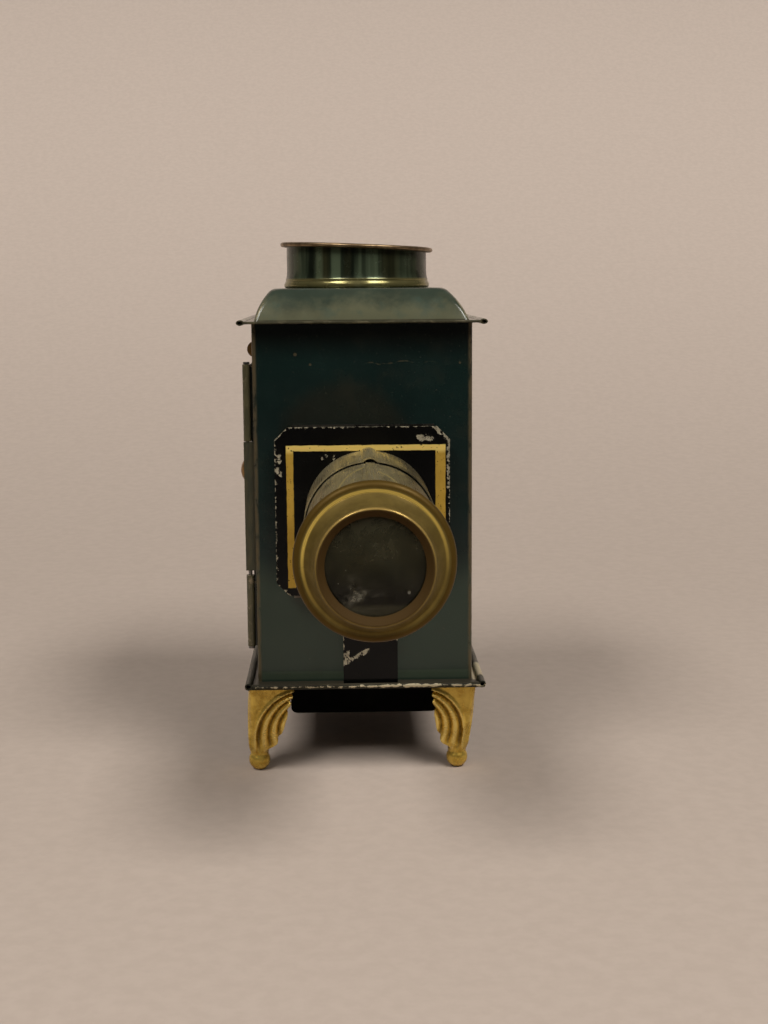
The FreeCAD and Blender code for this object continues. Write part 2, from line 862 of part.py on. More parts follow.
def turn_button():
    """Latch above the door, drawn about its pivot and left pointing up, clear of the door."""
    pivot_y, pivot_z = button_place()
    outer = -(half_width - d.wall + d.button_standoff + d.button_play + d.button_sheet)
    body = new_body("button_plate", (outer, pivot_y, pivot_z))
    sketch = new_sketch(body, "YZ_Plane", "outline")
    zero = as_size(0)
    draw_outline(sketch, [
        (-d.button_radius, zero, d.button_radius, "left"),
        (zero, -d.button_radius, d.button_radius, "left"),
        (d.button_radius, zero),
        (d.button_radius, d.button_arm),
        (-d.button_radius, d.button_arm),
    ])
    draw_circle(sketch, zero, zero, d.button_rivet_radius + d.pin_clearance)
    pad(body, sketch, d.button_sheet)
    grip_curve = dome_curve((d.button_arm + d.button_radius) / 2, d.button_grip)
    grip = padded("button_grip", "XZ_Plane",
                  [(d.button_sheet, d.button_arm), (zero, d.button_arm, grip_curve, "left"),
                   (zero, -d.button_radius), (d.button_sheet, -d.button_radius)],
                  d.button_sheet, (outer, pivot_y + d.button_radius, pivot_z))
    node(fuse("turn_button", [body, grip]), "turn_button")


def turn_button_rivet():
    pivot_y, pivot_z = button_place()
    shank_end = d.button_standoff + d.button_play * 2 + d.button_sheet
    profile = [
        (as_size(0), as_size(0)),
        (d.button_radius, as_size(0)),
        (d.button_radius, d.button_standoff),
        (d.button_rivet_radius, d.button_standoff),
        (d.button_rivet_radius, shank_end),
        (d.button_head_radius, shank_end),
        (d.button_head_radius, shank_end + d.button_head),
        (as_size(0), shank_end + d.button_head),
    ]
    at = (-(half_width - d.wall), pivot_y, pivot_z)
    node(turned("turn_button_rivet", profile, at, DOORWARD), "turn_button_rivet")


# Slide stage and lens board

def lens_board():
    body = new_body("lens_board", (0, board_back, base_top))
    axis = d.lens_axis - base_top
    top = axis + d.board_above
    bottom = axis - d.board_below
    left = d.board_shift - d.board_width / 2
    right = d.board_shift + d.board_width / 2
    chamfer = d.board_chamfer
    tongue_left = d.tongue_shift - d.tongue_width / 2
    tongue_right = d.tongue_shift + d.tongue_width / 2
    plate = new_sketch(body, "XZ_Plane", "plate")
    draw_outline(plate, [
        (tongue_left, as_size(0)),
        (tongue_right, as_size(0)),
        (tongue_right, bottom),
        (right - chamfer, bottom),
        (right, bottom + chamfer),
        (right, top - chamfer),
        (right - chamfer, top),
        (left + chamfer, top),
        (left, top - chamfer),
        (left, bottom + chamfer),
        (left + chamfer, bottom),
        (tongue_left, bottom),
    ])
    draw_circle(plate, d.lens_shift, axis, d.sleeve_radius - d.tube_wall)
    pad(body, plate, d.board_sheet)
    toe = new_sketch(body, "XY_Plane", "toe")
    draw_outline(toe, rectangle(tongue_left, -(d.board_sheet + d.tongue_foot), tongue_right, -d.board_sheet))
    pad(body, toe, d.board_sheet)
    node(body, "lens_board")


def slide_guide(name, upward):
    shelf_face = d.lens_axis + d.slide_height / 2 * upward
    half = d.guide_width / 2
    edges = [shelf_face, shelf_face + d.guide_sheet * upward]
    flange_edges = [shelf_face, shelf_face + d.guide_flange * upward]
    low, high = edges if upward > 0 else edges[::-1]
    flange_low, flange_high = flange_edges if upward > 0 else flange_edges[::-1]
    shelf = block(f"{name}_shelf", (-half, board_back, low), (half, front, high))
    flange = block(f"{name}_flange", (-half, front - d.guide_sheet, flange_low), (half, front, flange_high))
    node(fuse(name, [shelf, flange]), name)


def slide_springs():
    """Two bowed strips on the back of the board that press a slide towards the lamp house."""
    half = d.spring_length / 2
    inner_half = half - d.spring_foot
    outer_bow = d.spring_bow + d.spring_sheet
    outer_curve = (half * half + outer_bow * outer_bow) / (outer_bow * 2)
    inner_curve = (inner_half * inner_half + d.spring_bow * d.spring_bow) / (d.spring_bow * 2)
    zero = as_size(0)
    profile = [
        (zero, -half, outer_curve, "left"),
        (zero, half),
        (zero, inner_half, inner_curve, "right"),
        (zero, -inner_half),
    ]
    strips = [padded(f"spring_{side}", "YZ_Plane", profile, d.spring_width, (x, board_back, d.lens_axis),
                     both_ways=True)
              for side, x in (("left", -d.spring_spacing / 2), ("right", d.spring_spacing / 2))]
    node(group("slide_springs", strips), "slide_springs")


# Lens tubes

def lens_sleeve():
    """Fixed tube with a rounded key pressed up along its top, in which the draw tube's rib runs."""
    length = d.sleeve_reach - d.slide_gap - d.board_sheet
    at = (d.lens_shift, board_front, d.lens_axis)
    key_radius = d.key_width / 2
    key_at = (d.lens_shift, board_front, d.lens_axis + d.sleeve_radius + d.key_height - key_radius)
    outside = fuse("sleeve_outside", [
        cylinder("sleeve_barrel", at, d.sleeve_radius, length, FORWARD),
        cylinder("sleeve_key", key_at, key_radius, length, FORWARD),
    ])
    inside = fuse("sleeve_inside", [
        cylinder("sleeve_bore", at, d.sleeve_radius - d.tube_wall, length, FORWARD),
        cylinder("sleeve_channel", key_at, key_radius - d.key_sheet, length, FORWARD),
    ])
    node(cut("lens_sleeve", outside, inside), "lens_sleeve")


def bezel_shoulder():
    return d.lens_reach - d.bead_setback


def draw_tube():
    """Sliding tube with a flat seam rib along its top."""
    rear = front - d.draw_rear
    length = bezel_shoulder() - d.draw_rear
    rib_end = front - d.lens_reach + d.collar_setback
    at = (d.lens_shift, rear, d.lens_axis)
    barrel_outside = cylinder("draw_barrel", at, draw_radius, length, FORWARD)
    bore = cylinder("draw_bore", at, draw_radius - d.tube_wall, length, FORWARD)
    rib = block("draw_rib", (d.lens_shift - d.rib_width / 2, rib_end, d.lens_axis),
                (d.lens_shift + d.rib_width / 2, rear, d.lens_axis + draw_radius + d.rib_height))
    node(cut("draw_tube", fuse("draw_blank", [barrel_outside, rib]), bore), "draw_tube")


def lens_bezel():
    """Turned brass bell: collar on the draw tube, rounded bead, hollow cove and rolled front lip."""
    def back_from_front(setback):
        return d.lens_reach - setback

    collar = draw_radius + d.bezel_collar
    shoulder = bezel_shoulder()
    collar_rear = back_from_front(d.collar_setback)
    bead_x = d.bezel_radius - d.bezel_bead
    lip_z = back_from_front(d.lip_setback)
    profile = [
        (draw_radius, collar_rear),
        (collar, collar_rear),
        (collar, shoulder - d.bezel_bead),
        (bead_x, shoulder - d.bezel_bead, d.bezel_bead, "left"),
        (d.bezel_radius, shoulder, d.bezel_bead, "left"),
        (bead_x, shoulder + d.bezel_bead),
        (d.face_radius, back_from_front(d.face_setback), d.cove_radius, "right"),
        (d.lip_radius + d.lip_half_width, lip_z, d.lip_bead, "left"),
        (d.lip_radius - d.lip_half_width, lip_z),
        (d.glass_radius, back_from_front(d.glass_edge_setback)),
        (d.glass_radius, back_from_front(d.seat_setback)),
        (d.seat_radius, back_from_front(d.seat_setback)),
        (d.seat_radius, shoulder),
        (draw_radius, shoulder),
    ]
    optic("lens_bezel", profile)


# Lenses

def lens_profile(radius, flat_width, rear, edge, front_sag, rear_sag):
    """Half section of a lens with a flat seat around each domed face."""
    dome = radius - flat_width
    face = rear + edge
    corners = [(radius, rear), (radius, face)]
    if front_sag is None:
        corners.append((as_size(0), face))
    else:
        corners += [(dome, face, dome_curve(dome, front_sag), "left"), (as_size(0), face + front_sag)]
    if rear_sag is None:
        corners.append((as_size(0), rear))
    else:
        corners += [(as_size(0), rear - rear_sag, dome_curve(dome, rear_sag), "left"), (dome, rear)]
    return corners


def dome_curve(radius, sag):
    return (radius * radius + sag * sag) / (sag * 2)


def objective_lens():
    radius = d.seat_radius - d.lens_clearance
    face = d.lens_reach - d.seat_setback
    rear = face - d.front_lens_edge
    flat = d.seat_radius - d.glass_radius + d.lens_clearance
    optic("objective_lens", lens_profile(radius, flat, rear, d.front_lens_edge, d.front_lens_sag,
                                         d.front_lens_sag))
    optic("lens_retaining_ring", ring_profile(d.seat_radius - d.retainer_width, d.seat_radius,
                                              rear - d.retainer_height, rear))


def rear_objective_lens():
    bore = draw_radius - d.tube_wall
    rear = d.draw_rear + d.rear_lens_setin
    face = rear + d.rear_lens_edge
    optic("rear_objective_lens", lens_profile(bore - d.lens_clearance, d.rear_ring_width, rear,
                                              d.rear_lens_edge, d.rear_lens_sag, None))
    at = (d.lens_shift, front, d.lens_axis)
    ring_bore = bore - d.rear_ring_width
    rings = []
    for name, low in (("behind", rear - d.rear_ring_height), ("before", face)):
        section = ring_profile(ring_bore, bore, low, low + d.rear_ring_height)
        rings.append(turned(f"rear_ring_{name}", section, at, FORWARD))
    node(group("rear_lens_rings", rings), "rear_lens_rings")


def condenser():
    """A plano-convex lens in a cell behind the front wall, flat side to the slide."""
    face = -d.wall
    rear = face - d.condenser_edge
    cell_bore = d.condenser_radius + d.lens_clearance
    optic("condenser_lens", lens_profile(d.condenser_radius, d.condenser_flat, rear, d.condenser_edge, None,
                                         d.condenser_sag))
    optic("condenser_cell", ring_profile(cell_bore, cell_bore + d.cell_wall, face - d.cell_depth, face))
    optic("condenser_ring", ring_profile(cell_bore - d.condenser_flat, cell_bore,
                                         rear - d.condenser_ring_height, rear))


# Oil lamp

def rounded_plan(half_x, half_y, bend):
    """Plan of a rectangle with rounded corners."""
    flat_x = half_x - bend
    flat_y = half_y - bend
    return [
        (half_x, -flat_y),
        (half_x, flat_y, bend, "left"),
        (flat_x, half_y),
        (-flat_x, half_y, bend, "left"),
        (-half_x, flat_y),
        (-half_x, -flat_y, bend, "left"),
        (-flat_x, -half_y),
        (flat_x, -half_y, bend, "left"),
    ]


def lamp_tank():
    half_x = d.tank_length / 2
    half_y = d.tank_depth / 2
    sheet = d.tank_sheet
    outside = padded("tank_outside", "XY_Plane", rounded_plan(half_x, half_y, d.tank_bend), d.tank_height,
                     (0, lamp_y, base_top))
    inside = padded("tank_inside", "XY_Plane",
                    rounded_plan(half_x - sheet, half_y - sheet, d.tank_bend - sheet),
                    d.tank_height - sheet * 2, (0, lamp_y, base_top + sheet))
    burner_hole = cylinder("burner_opening", (0, lamp_y, tank_top - sheet), d.burner_hole, sheet)
    filler = cylinder("filler_opening", (d.filler_offset, lamp_y, tank_top - sheet), d.filler_hole, sheet)
    node(cut("lamp_tank", outside, fuse("tank_waste", [inside, burner_hole, filler])), "lamp_tank")


def filler_cap():
    plug = d.filler_hole - d.cap_clearance
    zero = as_size(0)
    rounding = d.cap_height / 4
    cap = turned("filler_cap", [
        (zero, -d.cap_plug),
        (plug, -d.cap_plug),
        (plug, zero),
        (d.cap_radius, zero),
        (d.cap_radius, d.cap_height - rounding, rounding, "left"),
        (d.cap_radius - rounding, d.cap_height),
        (zero, d.cap_height),
    ], (d.filler_offset, lamp_y, tank_top))
    node(cap, "filler_cap")


def wick_tube_half():
    across = d.wick_width / 2 + d.wick_clearance + d.wick_tube_sheet
    through = d.wick_thickness / 2 + d.wick_clearance + d.wick_tube_sheet
    return across, through


def spindle_place():
    offset = d.wick_thickness / 2 + d.wheel_gap + d.wheel_radius
    return lamp_y + offset, tank_top + d.spindle_height


def burner_gallery():
    floor_top = d.gallery_drum + d.gallery_floor
    drum_bore = d.gallery_radius - d.gallery_sheet
    cup_bore = d.cup_radius - d.gallery_sheet
    zero = as_size(0)
    shell = turned("gallery_shell", [
        (drum_bore, zero),
        (d.gallery_radius, zero),
        (d.gallery_radius, d.gallery_drum),
        (d.cup_radius, d.cup_foot),
        (d.cup_radius, d.cup_height),
        (cup_bore, d.cup_height),
        (cup_bore, d.cup_foot + d.gallery_sheet),
        (cup_bore - d.cup_ledge, d.cup_foot + d.gallery_sheet),
        (drum_bore, floor_top),
        (zero, floor_top),
        (zero, d.gallery_drum),
        (drum_bore, d.gallery_drum),
    ], (0, lamp_y, tank_top))
    across, through = wick_tube_half()
    slot = block("gallery_slot", (-across, lamp_y - through, tank_top),
                 (across, lamp_y + through, tank_top + floor_top))
    spindle_y, spindle_z = spindle_place()
    bearing = cylinder("spindle_bearing", (0, spindle_y, spindle_z), d.spindle_radius + d.pin_clearance,
                       d.gallery_radius, DOORWARD)
    node(cut("burner_gallery", shell, fuse("gallery_waste", [slot, bearing])), "burner_gallery")


def wick_tube():
    across, through = wick_tube_half()
    low = tank_top - d.wick_tube_dip
    high = d.lens_axis - d.flame_height
    inner_across = across - d.wick_tube_sheet
    inner_through = through - d.wick_tube_sheet
    outer = block("wick_tube_outside", (-across, lamp_y - through, low), (across, lamp_y + through, high))
    inner = block("wick_tube_bore", (-inner_across, lamp_y - inner_through, low),
                  (inner_across, lamp_y + inner_through, high))
    spindle_y, spindle_z = spindle_place()
    half_window = d.wheel_spacing / 2 + d.wheel_width
    window_rise = d.wheel_radius + d.window_clearance
    window = block("wheel_window", (-half_window, lamp_y, spindle_z - window_rise),
                   (half_window, spindle_y, spindle_z + window_rise))
    node(cut("wick_tube", outer, fuse("wick_tube_waste", [inner, window])), "wick_tube")


def wick():
    top = d.lens_axis - d.flame_height + d.wick_above
    half_x = d.wick_width / 2
    half_y = d.wick_thickness / 2
    strip = block("wick", (-half_x, lamp_y - half_y, top - d.wick_length), (half_x, lamp_y + half_y, top))
    node(strip, "wick")


def wick_spindle():
    spindle_y, spindle_z = spindle_place()
    shaft = cylinder("spindle_shaft", (d.spindle_tail, spindle_y, spindle_z), d.spindle_radius,
                     d.spindle_tail + d.spindle_reach, DOORWARD)
    half = d.wheel_width / 2
    wheels = [cylinder(f"wick_wheel_{name}", (x + half, spindle_y, spindle_z), d.wheel_radius, d.wheel_width,
                       DOORWARD)
              for name, x in (("left", -d.wheel_spacing / 2), ("right", d.wheel_spacing / 2))]
    node(fuse("wick_spindle", [shaft] + wheels), "wick_spindle")


def wick_knob():
    spindle_y, spindle_z = spindle_place()
    zero = as_size(0)
    rim = d.wick_knob_radius - d.wick_knob_round
    profile = [
        (zero, zero),
        (rim, zero, d.wick_knob_round, "left"),
        (d.wick_knob_radius, d.wick_knob_round),
        (d.wick_knob_radius, d.wick_knob_width - d.wick_knob_round, d.wick_knob_round, "left"),
        (rim, d.wick_knob_width),
        (zero, d.wick_knob_width),
    ]
    at = (-d.spindle_reach, spindle_y, spindle_z)
    node(turned("wick_knob", profile, at, DOORWARD), "wick_knob")


def lamp_glass():
    """Glass chimney of the lamp: straight foot in the gallery cup, a swelling at the flame, narrow top."""
    radius = d.cup_radius - d.gallery_sheet - d.glass_clearance
    bulge_top = d.glass_foot + d.glass_bulge
    shoulder_top = bulge_top + d.glass_shoulder
    curve = dome_curve(d.glass_bulge / 2, d.glass_sag)
    inner = radius - d.glass_wall
    top_inner = d.glass_top_radius - d.glass_wall
    profile = [
        (radius, as_size(0)),
        (radius, d.glass_foot, curve, "left"),
        (radius, bulge_top),
        (d.glass_top_radius, shoulder_top),
        (d.glass_top_radius, d.glass_height),
        (top_inner, d.glass_height),
        (top_inner, shoulder_top),
        (inner, bulge_top, curve, "right"),
        (inner, d.glass_foot),
        (inner, as_size(0)),
    ]
    at = (0, lamp_y, tank_top + d.cup_foot + d.gallery_sheet)
    node(turned("lamp_glass", profile, at), "lamp_glass")


def reflector():
    """Round concave mirror behind the flame, with a boss that its bracket is fixed to."""
    zero = as_size(0)
    bowl_radius = d.reflector_radius - d.reflector_sheet
    curve = dome_curve(bowl_radius, d.reflector_depth)
    profile = [
        (zero, -d.boss_height),
        (d.boss_radius, -d.boss_height),
        (d.boss_radius, zero, curve, "left"),
        (d.reflector_radius, d.reflector_depth),
        (bowl_radius, d.reflector_depth + d.reflector_sheet, curve, "right"),
        (zero, d.reflector_sheet),
    ]
    at = (0, lamp_y + d.reflector_distance, d.lens_axis)
    node(turned("reflector", profile, at, FORWARD), "reflector")


def reflector_bracket():
    half = d.bracket_width / 2
    face = lamp_y + d.reflector_distance + d.boss_height
    back = face + d.bracket_sheet
    upright = block("bracket_upright", (-half, face, tank_top), (half, back, d.lens_axis + d.bracket_above))
    foot_plate = block("bracket_foot", (-half, lamp_y + d.bracket_foot, tank_top),
                       (half, back, tank_top + d.bracket_sheet))
    node(fuse("reflector_bracket", [upright, foot_plate]), "reflector_bracket")


def lamp_rails():
    """Two strips that guide the lamp in from the door, and a stop where it stands under the chimney."""
    near = d.tank_depth / 2 + d.rail_clearance
    far = near + d.rail_sheet
    stop = d.tank_length / 2 + d.rail_clearance
    end = stop + d.rail_sheet
    top = base_top + d.rail_height
    half_stop = d.stop_width / 2
    rails = [
        block("rail_front", (end - d.rail_length, lamp_y - far, base_top), (end, lamp_y - near, top)),
        block("rail_rear", (end - d.rail_length, lamp_y + near, base_top), (end, lamp_y + far, top)),
        block("rail_stop", (stop, lamp_y - half_stop, base_top), (end, lamp_y + half_stop, top)),
    ]
    node(group("lamp_rails", rails), "lamp_rails")


def build():
    front_panel()
    body_wrap()
    base_plate()
    draught_tray()
    feet()
    roof()
    roof_collar()
    chimney_tube()
    chimney_rim()
    door_panel()
    hinge_leaf()
    hinge_pin()
    door_knob()
    door_knob_nut()
    turn_button()
    turn_button_rivet()
    lens_board()
    slide_guide("slide_guide_upper", 1)
    slide_guide("slide_guide_lower", -1)
    slide_springs()
    lens_sleeve()
    draw_tube()
    lens_bezel()
    objective_lens()
    rear_objective_lens()
    condenser()
    lamp_tank()
    filler_cap()
    burner_gallery()
    wick_tube()
    wick()
    wick_spindle()
    wick_knob()
    lamp_glass()
    reflector()
    reflector_bracket()
    lamp_rails()
    doc.recompute()


def check():
    for item in doc.Objects:
        if "Invalid" in item.State or "Error" in item.State:
            raise RuntimeError(f"{item.Label} failed: {item.State}")
    for item in nodes:
        if item.Shape.isNull() or not item.Shape.isValid() or not item.Shape.Solids:
            raise RuntimeError(f"{item.Label} has no valid solid")


def export():
    os.makedirs("parts", exist_ok=True)
    for item in nodes:
        item.Shape.exportStep(f"parts/{item.Label}.step")
        print(item.Label, len(item.Shape.Solids), round(item.Shape.Volume, 2))


build()
check()
export()
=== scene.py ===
import json
import math

import bmesh
import bpy
from mathutils import Matrix, Vector, noise


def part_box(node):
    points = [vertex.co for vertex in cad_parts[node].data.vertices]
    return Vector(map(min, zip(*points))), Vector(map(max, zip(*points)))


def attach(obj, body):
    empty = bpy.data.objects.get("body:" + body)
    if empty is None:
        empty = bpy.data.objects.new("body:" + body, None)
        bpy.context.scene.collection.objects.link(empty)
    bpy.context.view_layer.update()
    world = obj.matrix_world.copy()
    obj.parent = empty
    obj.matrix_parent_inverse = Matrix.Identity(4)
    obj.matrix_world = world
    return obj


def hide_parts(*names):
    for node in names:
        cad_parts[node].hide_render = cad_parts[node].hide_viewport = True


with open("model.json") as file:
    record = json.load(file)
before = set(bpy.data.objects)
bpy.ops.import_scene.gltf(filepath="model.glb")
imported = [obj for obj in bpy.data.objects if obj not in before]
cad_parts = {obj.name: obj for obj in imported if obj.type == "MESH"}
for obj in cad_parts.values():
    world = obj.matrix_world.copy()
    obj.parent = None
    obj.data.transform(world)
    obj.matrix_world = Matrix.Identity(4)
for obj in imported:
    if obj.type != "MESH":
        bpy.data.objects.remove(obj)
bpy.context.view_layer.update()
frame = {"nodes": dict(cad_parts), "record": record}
NODES = frame["nodes"]

MM = 0.001
FULL_TURN = 2 * math.pi


# Places read from the CAD model, in millimetres

def span(node):
    low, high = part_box(node)
    return low / MM, high / MM


FRONT = span("front_panel")[0].y
BACK = span("body_wrap")[1].y
HALF_WIDTH = span("front_panel")[1].x
HALF_DEPTH = (BACK - FRONT) / 2
BASE_LOW, BASE_HIGH = span("base_plate")
BOARD_LOW, BOARD_HIGH = span("lens_board")
ROOF_LOW, ROOF_HIGH = span("roof")
COLLAR_LOW, COLLAR_HIGH = span("roof_collar")
RIM_LOW, RIM_HIGH = span("chimney_rim")
BEZEL_LOW, BEZEL_HIGH = span("lens_bezel")
DRAW_LOW, DRAW_HIGH = span("draw_tube")
DOOR_LOW, DOOR_HIGH = span("door_panel")
LENS_X = (BEZEL_LOW.x + BEZEL_HIGH.x) / 2
LENS_Z = (BEZEL_LOW.z + BEZEL_HIGH.z) / 2
CHIMNEY_X = (COLLAR_LOW.x + COLLAR_HIGH.x) / 2
LAMP_Y = (COLLAR_LOW.y + COLLAR_HIGH.y) / 2
COLLAR_RADIUS = (COLLAR_HIGH.x - COLLAR_LOW.x) / 2
DRAW_RADIUS = (DRAW_HIGH.x - DRAW_LOW.x) / 2
SOLES = {mount["name"]: Vector(mount["pos_m"]) / MM for mount in frame["record"]["mounts"]}


# Materials

def srgb(red, green, blue):
    """Linear colour for a colour written as 0 to 255."""
    def linear(level):
        level = level / 255
        return level / 12.92 if level <= 0.04045 else ((level + 0.055) / 1.055) ** 2.4
    return (linear(red), linear(green), linear(blue), 1.0)


class Look:
    """A material's node tree. Its textures read the piece's own coordinates, in millimetres."""

    def __init__(self, name):
        self.material = bpy.data.materials.new(name)
        self.material.use_nodes = True
        self.tree = self.material.node_tree
        self.shader = self.tree.nodes["Principled BSDF"]
        place = self.add("ShaderNodeTexCoord")
        scaled = self.add("ShaderNodeVectorMath", {0: place.outputs["Object"], "Scale": 1 / MM},
                          operation="SCALE")
        self.mm = scaled.outputs[0]
        self.x, self.y, self.z = self.add("ShaderNodeSeparateXYZ", {0: self.mm}).outputs
        self.side = self.calc("ABSOLUTE", self.x)

    def add(self, kind, inputs=None, **settings):
        item = self.tree.nodes.new(kind)
        for key, value in settings.items():
            setattr(item, key, value)
        for key, value in (inputs or {}).items():
            self.feed(item.inputs[key], value)
        return item

    def feed(self, socket, value):
        if isinstance(value, bpy.types.NodeSocket):
            self.tree.links.new(value, socket)
        else:
            socket.default_value = value

    def surface(self, **values):
        for name, value in values.items():
            self.feed(self.shader.inputs[name.replace("_", " ")], value)

    def calc(self, operation, first, second=0.0):
        return self.add("ShaderNodeMath", {0: first, 1: second}, operation=operation).outputs[0]

    def plus(self, first, second):
        return self.calc("ADD", first, second)

    def less(self, first, second):
        return self.calc("SUBTRACT", first, second)

    def fold(self, operation, values):
        result = values[0]
        for value in values[1:]:
            result = self.calc(operation, result, value)
        return result

    def times(self, *values):
        return self.fold("MULTIPLY", values)

    def most(self, *values):
        return self.fold("MAXIMUM", values)

    def least(self, *values):
        return self.fold("MINIMUM", values)

    def ramp(self, value, low, high, start=0.0, end=1.0):
        """A smooth step from start to end as the value goes from low to high."""
        return self.add("ShaderNodeMapRange", {0: value, 1: low, 2: high, 3: start, 4: end},
                        interpolation_type="SMOOTHSTEP").outputs[0]

    def band(self, value, low, high, soft):
        rise = self.ramp(value, low - soft, low + soft)
        fall = self.ramp(value, high - soft, high + soft, 1.0, 0.0)
        return self.times(rise, fall)

    def patch(self, low_x, high_x, low_z, high_z, soft):
        return self.times(self.band(self.x, low_x, high_x, soft), self.band(self.z, low_z, high_z, soft))

    def spot(self, x, z, radius):
        return self.ramp(self.distance(x, self.x, z, self.z), radius, radius * 0.7)

    def noise(self, size, detail=3.0, stretch=(1, 1, 1), shift=0.0, rough=0.55, warp=0.0):
        """Noise whose features are about the given size, in millimetres."""
        place = self.add("ShaderNodeMapping", {0: self.mm, "Location": (shift, shift * 1.7, shift * 0.6),
                                               "Scale": tuple(1 / (size * s) for s in stretch)})
        return self.add("ShaderNodeTexNoise", {0: place.outputs[0], "Scale": 1.0, "Detail": detail,
                                               "Roughness": rough, "Distortion": warp}).outputs[0]

    def mix(self, share, first, second):
        return self.add("ShaderNodeMix", {0: share, 6: first, 7: second}, data_type="RGBA").outputs[2]

    def blend(self, share, first, second):
        return self.add("ShaderNodeMix", {0: share, 2: first, 3: second}).outputs[0]

    def distance(self, centre_a, axis_a, centre_b, axis_b):
        """Distance from a line, given by two of the coordinates."""
        first = self.less(axis_a, centre_a)
        second = self.less(axis_b, centre_b)
        return self.calc("SQRT", self.plus(self.times(first, first), self.times(second, second)))

    def bump(self, height, depth, strength=1.0, under=None):
        """Surface relief: the height goes from 0 to 1 over the given depth in millimetres."""
        inputs = {"Strength": strength, "Distance": depth * MM, "Height": height}
        if under is not None:
            inputs["Normal"] = under
        return self.add("ShaderNodeBump", inputs).outputs[0]

    def facing_up(self):
        """1 on surfaces that look upwards, 0 on upright ones."""
        normal = self.add("ShaderNodeNewGeometry").outputs["Normal"]
        return self.ramp(self.add("ShaderNodeSeparateXYZ", {0: normal}).outputs[2], 0.5, 0.9)

    def eaten(self, distance, depth, flakes, share):
        """Paint lost inwards from an edge, in flakes that reach further where the noise is above a share."""
        reach = self.times(self.less(flakes, share), depth)
        return self.ramp(self.less(reach, distance), 0.0, 0.12)


BARE_TIN = srgb(176, 168, 152)
RUST = srgb(96, 62, 36)
BROWN_WEAR = srgb(100, 90, 66)


def painted(name, dark, light, roughness=0.14, wear=None, wear_colour=BARE_TIN, brush=(1, 1, 1), tint=None,
            ior=1.45):
    """Glossy old paint on thin sheet: uneven colour, a wavy surface, fine scratches and dust.

    The wear shows what lies under the paint. The tint gives more colours, with where each lies and how much.
    """
    look = Look(name)
    worn = wear(look) if wear else 0.0
    cloud = look.noise(26, 4)
    streak = look.noise(3.5, 3, stretch=brush, shift=11)
    colour = look.mix(look.ramp(cloud, 0.3, 0.7), dark, light)
    for where, amount, hue in tint(look) if tint else ():
        colour = look.mix(look.times(where, amount), colour, srgb(*hue))
    dust = look.ramp(look.noise(0.7, 2, shift=5), 0.68, 0.8)
    grime = look.times(look.ramp(look.noise(9, 5, shift=3), 0.5, 0.8), 0.2)
    colour = look.mix(look.times(dust, 0.25), colour, srgb(110, 104, 88))
    colour = look.mix(grime, colour, srgb(50, 46, 34))
    metal = look.mix(look.noise(1.2, 4, shift=8), wear_colour, RUST)
    colour = look.mix(worn, colour, look.mix(0.75, metal, wear_colour))
    wavy = look.bump(look.noise(30, 2, shift=2), 0.5, 0.35)
    fine = look.bump(streak, 0.02, 0.5, wavy)
    edge = look.bump(worn, 0.05, 0.6, fine) if wear else fine
    gloss = look.ramp(look.noise(14, 5, shift=21), 0.3, 0.75, roughness, roughness + 0.12)
    look.surface(Base_Color=colour, Roughness=look.blend(worn, gloss, 0.42), IOR=ior,
                 Metallic=look.times(worn, 0.5), Normal=edge)
    return look.material


SCRATCH_HIGH, SCRATCH_ALONG = (151.6, 151.95), (2, 26)
PANEL_SPECKS = ((-24.3, 154.9, 0.75), (-18.9, 151.2, 0.55), (35.4, 151.5, 0.5))
# Centre and reach of the painted reflection, a faint brown arc above the board.
REFLECTION_X, REFLECTION_Z = -7.0, 121.0
REFLECTION_REACH = (27.0, 20.0)
# Height below which a painted reflection of the floor lightens the panel.
FLOOR_REFLECTION_BELOW = (92.0, 72.0)


def panel_wear(look):
    """The bent front corners carry a brown strip, partly rubbed paint and partly a painted highlight of the
    bend; the sheet has a few specks and one long scratch.
    """
    # The corner strip is partly rubbed paint and partly a painted highlight where the bend catches the light.
    corner = look.times(look.ramp(look.side, HALF_WIDTH - 1.9, HALF_WIDTH - 0.8),
                        look.ramp(look.y, FRONT + 1.8, FRONT + 1.2))
    rubbed = look.times(corner, look.ramp(look.noise(2.2, 4, stretch=(1, 1, 3)), 0.25, 0.6))
    sway = look.times(look.less(look.noise(9, 2, stretch=(1, 4, 9), shift=4), 0.5), 5.0)
    scratch = look.times(look.band(look.plus(look.z, sway), *SCRATCH_HIGH, 0.16),
                         look.band(look.x, *SCRATCH_ALONG, 2.0),
                         look.ramp(look.noise(2.5, 3, shift=13), 0.4, 0.6))
    specks = look.most(*(look.spot(*speck) for speck in PANEL_SPECKS))
    chips = look.ramp(look.noise(2.6, 4, shift=30), 0.77, 0.8)
    return look.most(look.times(rubbed, 0.9), look.times(chips, 0.5), look.times(scratch, 0.4),
                     look.times(specks, 0.5))


def panel_tint(look):
    """Painted shade under the eave, a painted reflection as a faint brown arc above the board, a painted
    floor reflection lower down, dusty at the foot.
    """
    # Painted shade: nearly black just under the eave.
    under_eave = look.ramp(look.z, ROOF_LOW.z - 14, ROOF_LOW.z - 3)
    # Painted reflection: a faint brown arc above the board.
    reflection_arc = look.ramp(look.distance(REFLECTION_X, look.x, REFLECTION_Z, look.z), *REFLECTION_REACH)
    # Painted reflection of the floor: a lighter green below this height, with an uneven edge.
    low = look.ramp(look.plus(look.z, look.times(look.noise(20, 3, shift=12), 12.0)), *FLOOR_REFLECTION_BELOW)
    dusty_foot = look.band(look.z, BASE_LOW.z + 1.6, BASE_LOW.z + 4.5, 0.5)
    return ((under_eave, 0.8, (9, 10, 7)), (reflection_arc, 0.45, (36, 30, 20)),
            (low, 0.8, (52, 66, 54)), (dusty_foot, 0.6, (84, 94, 76)))


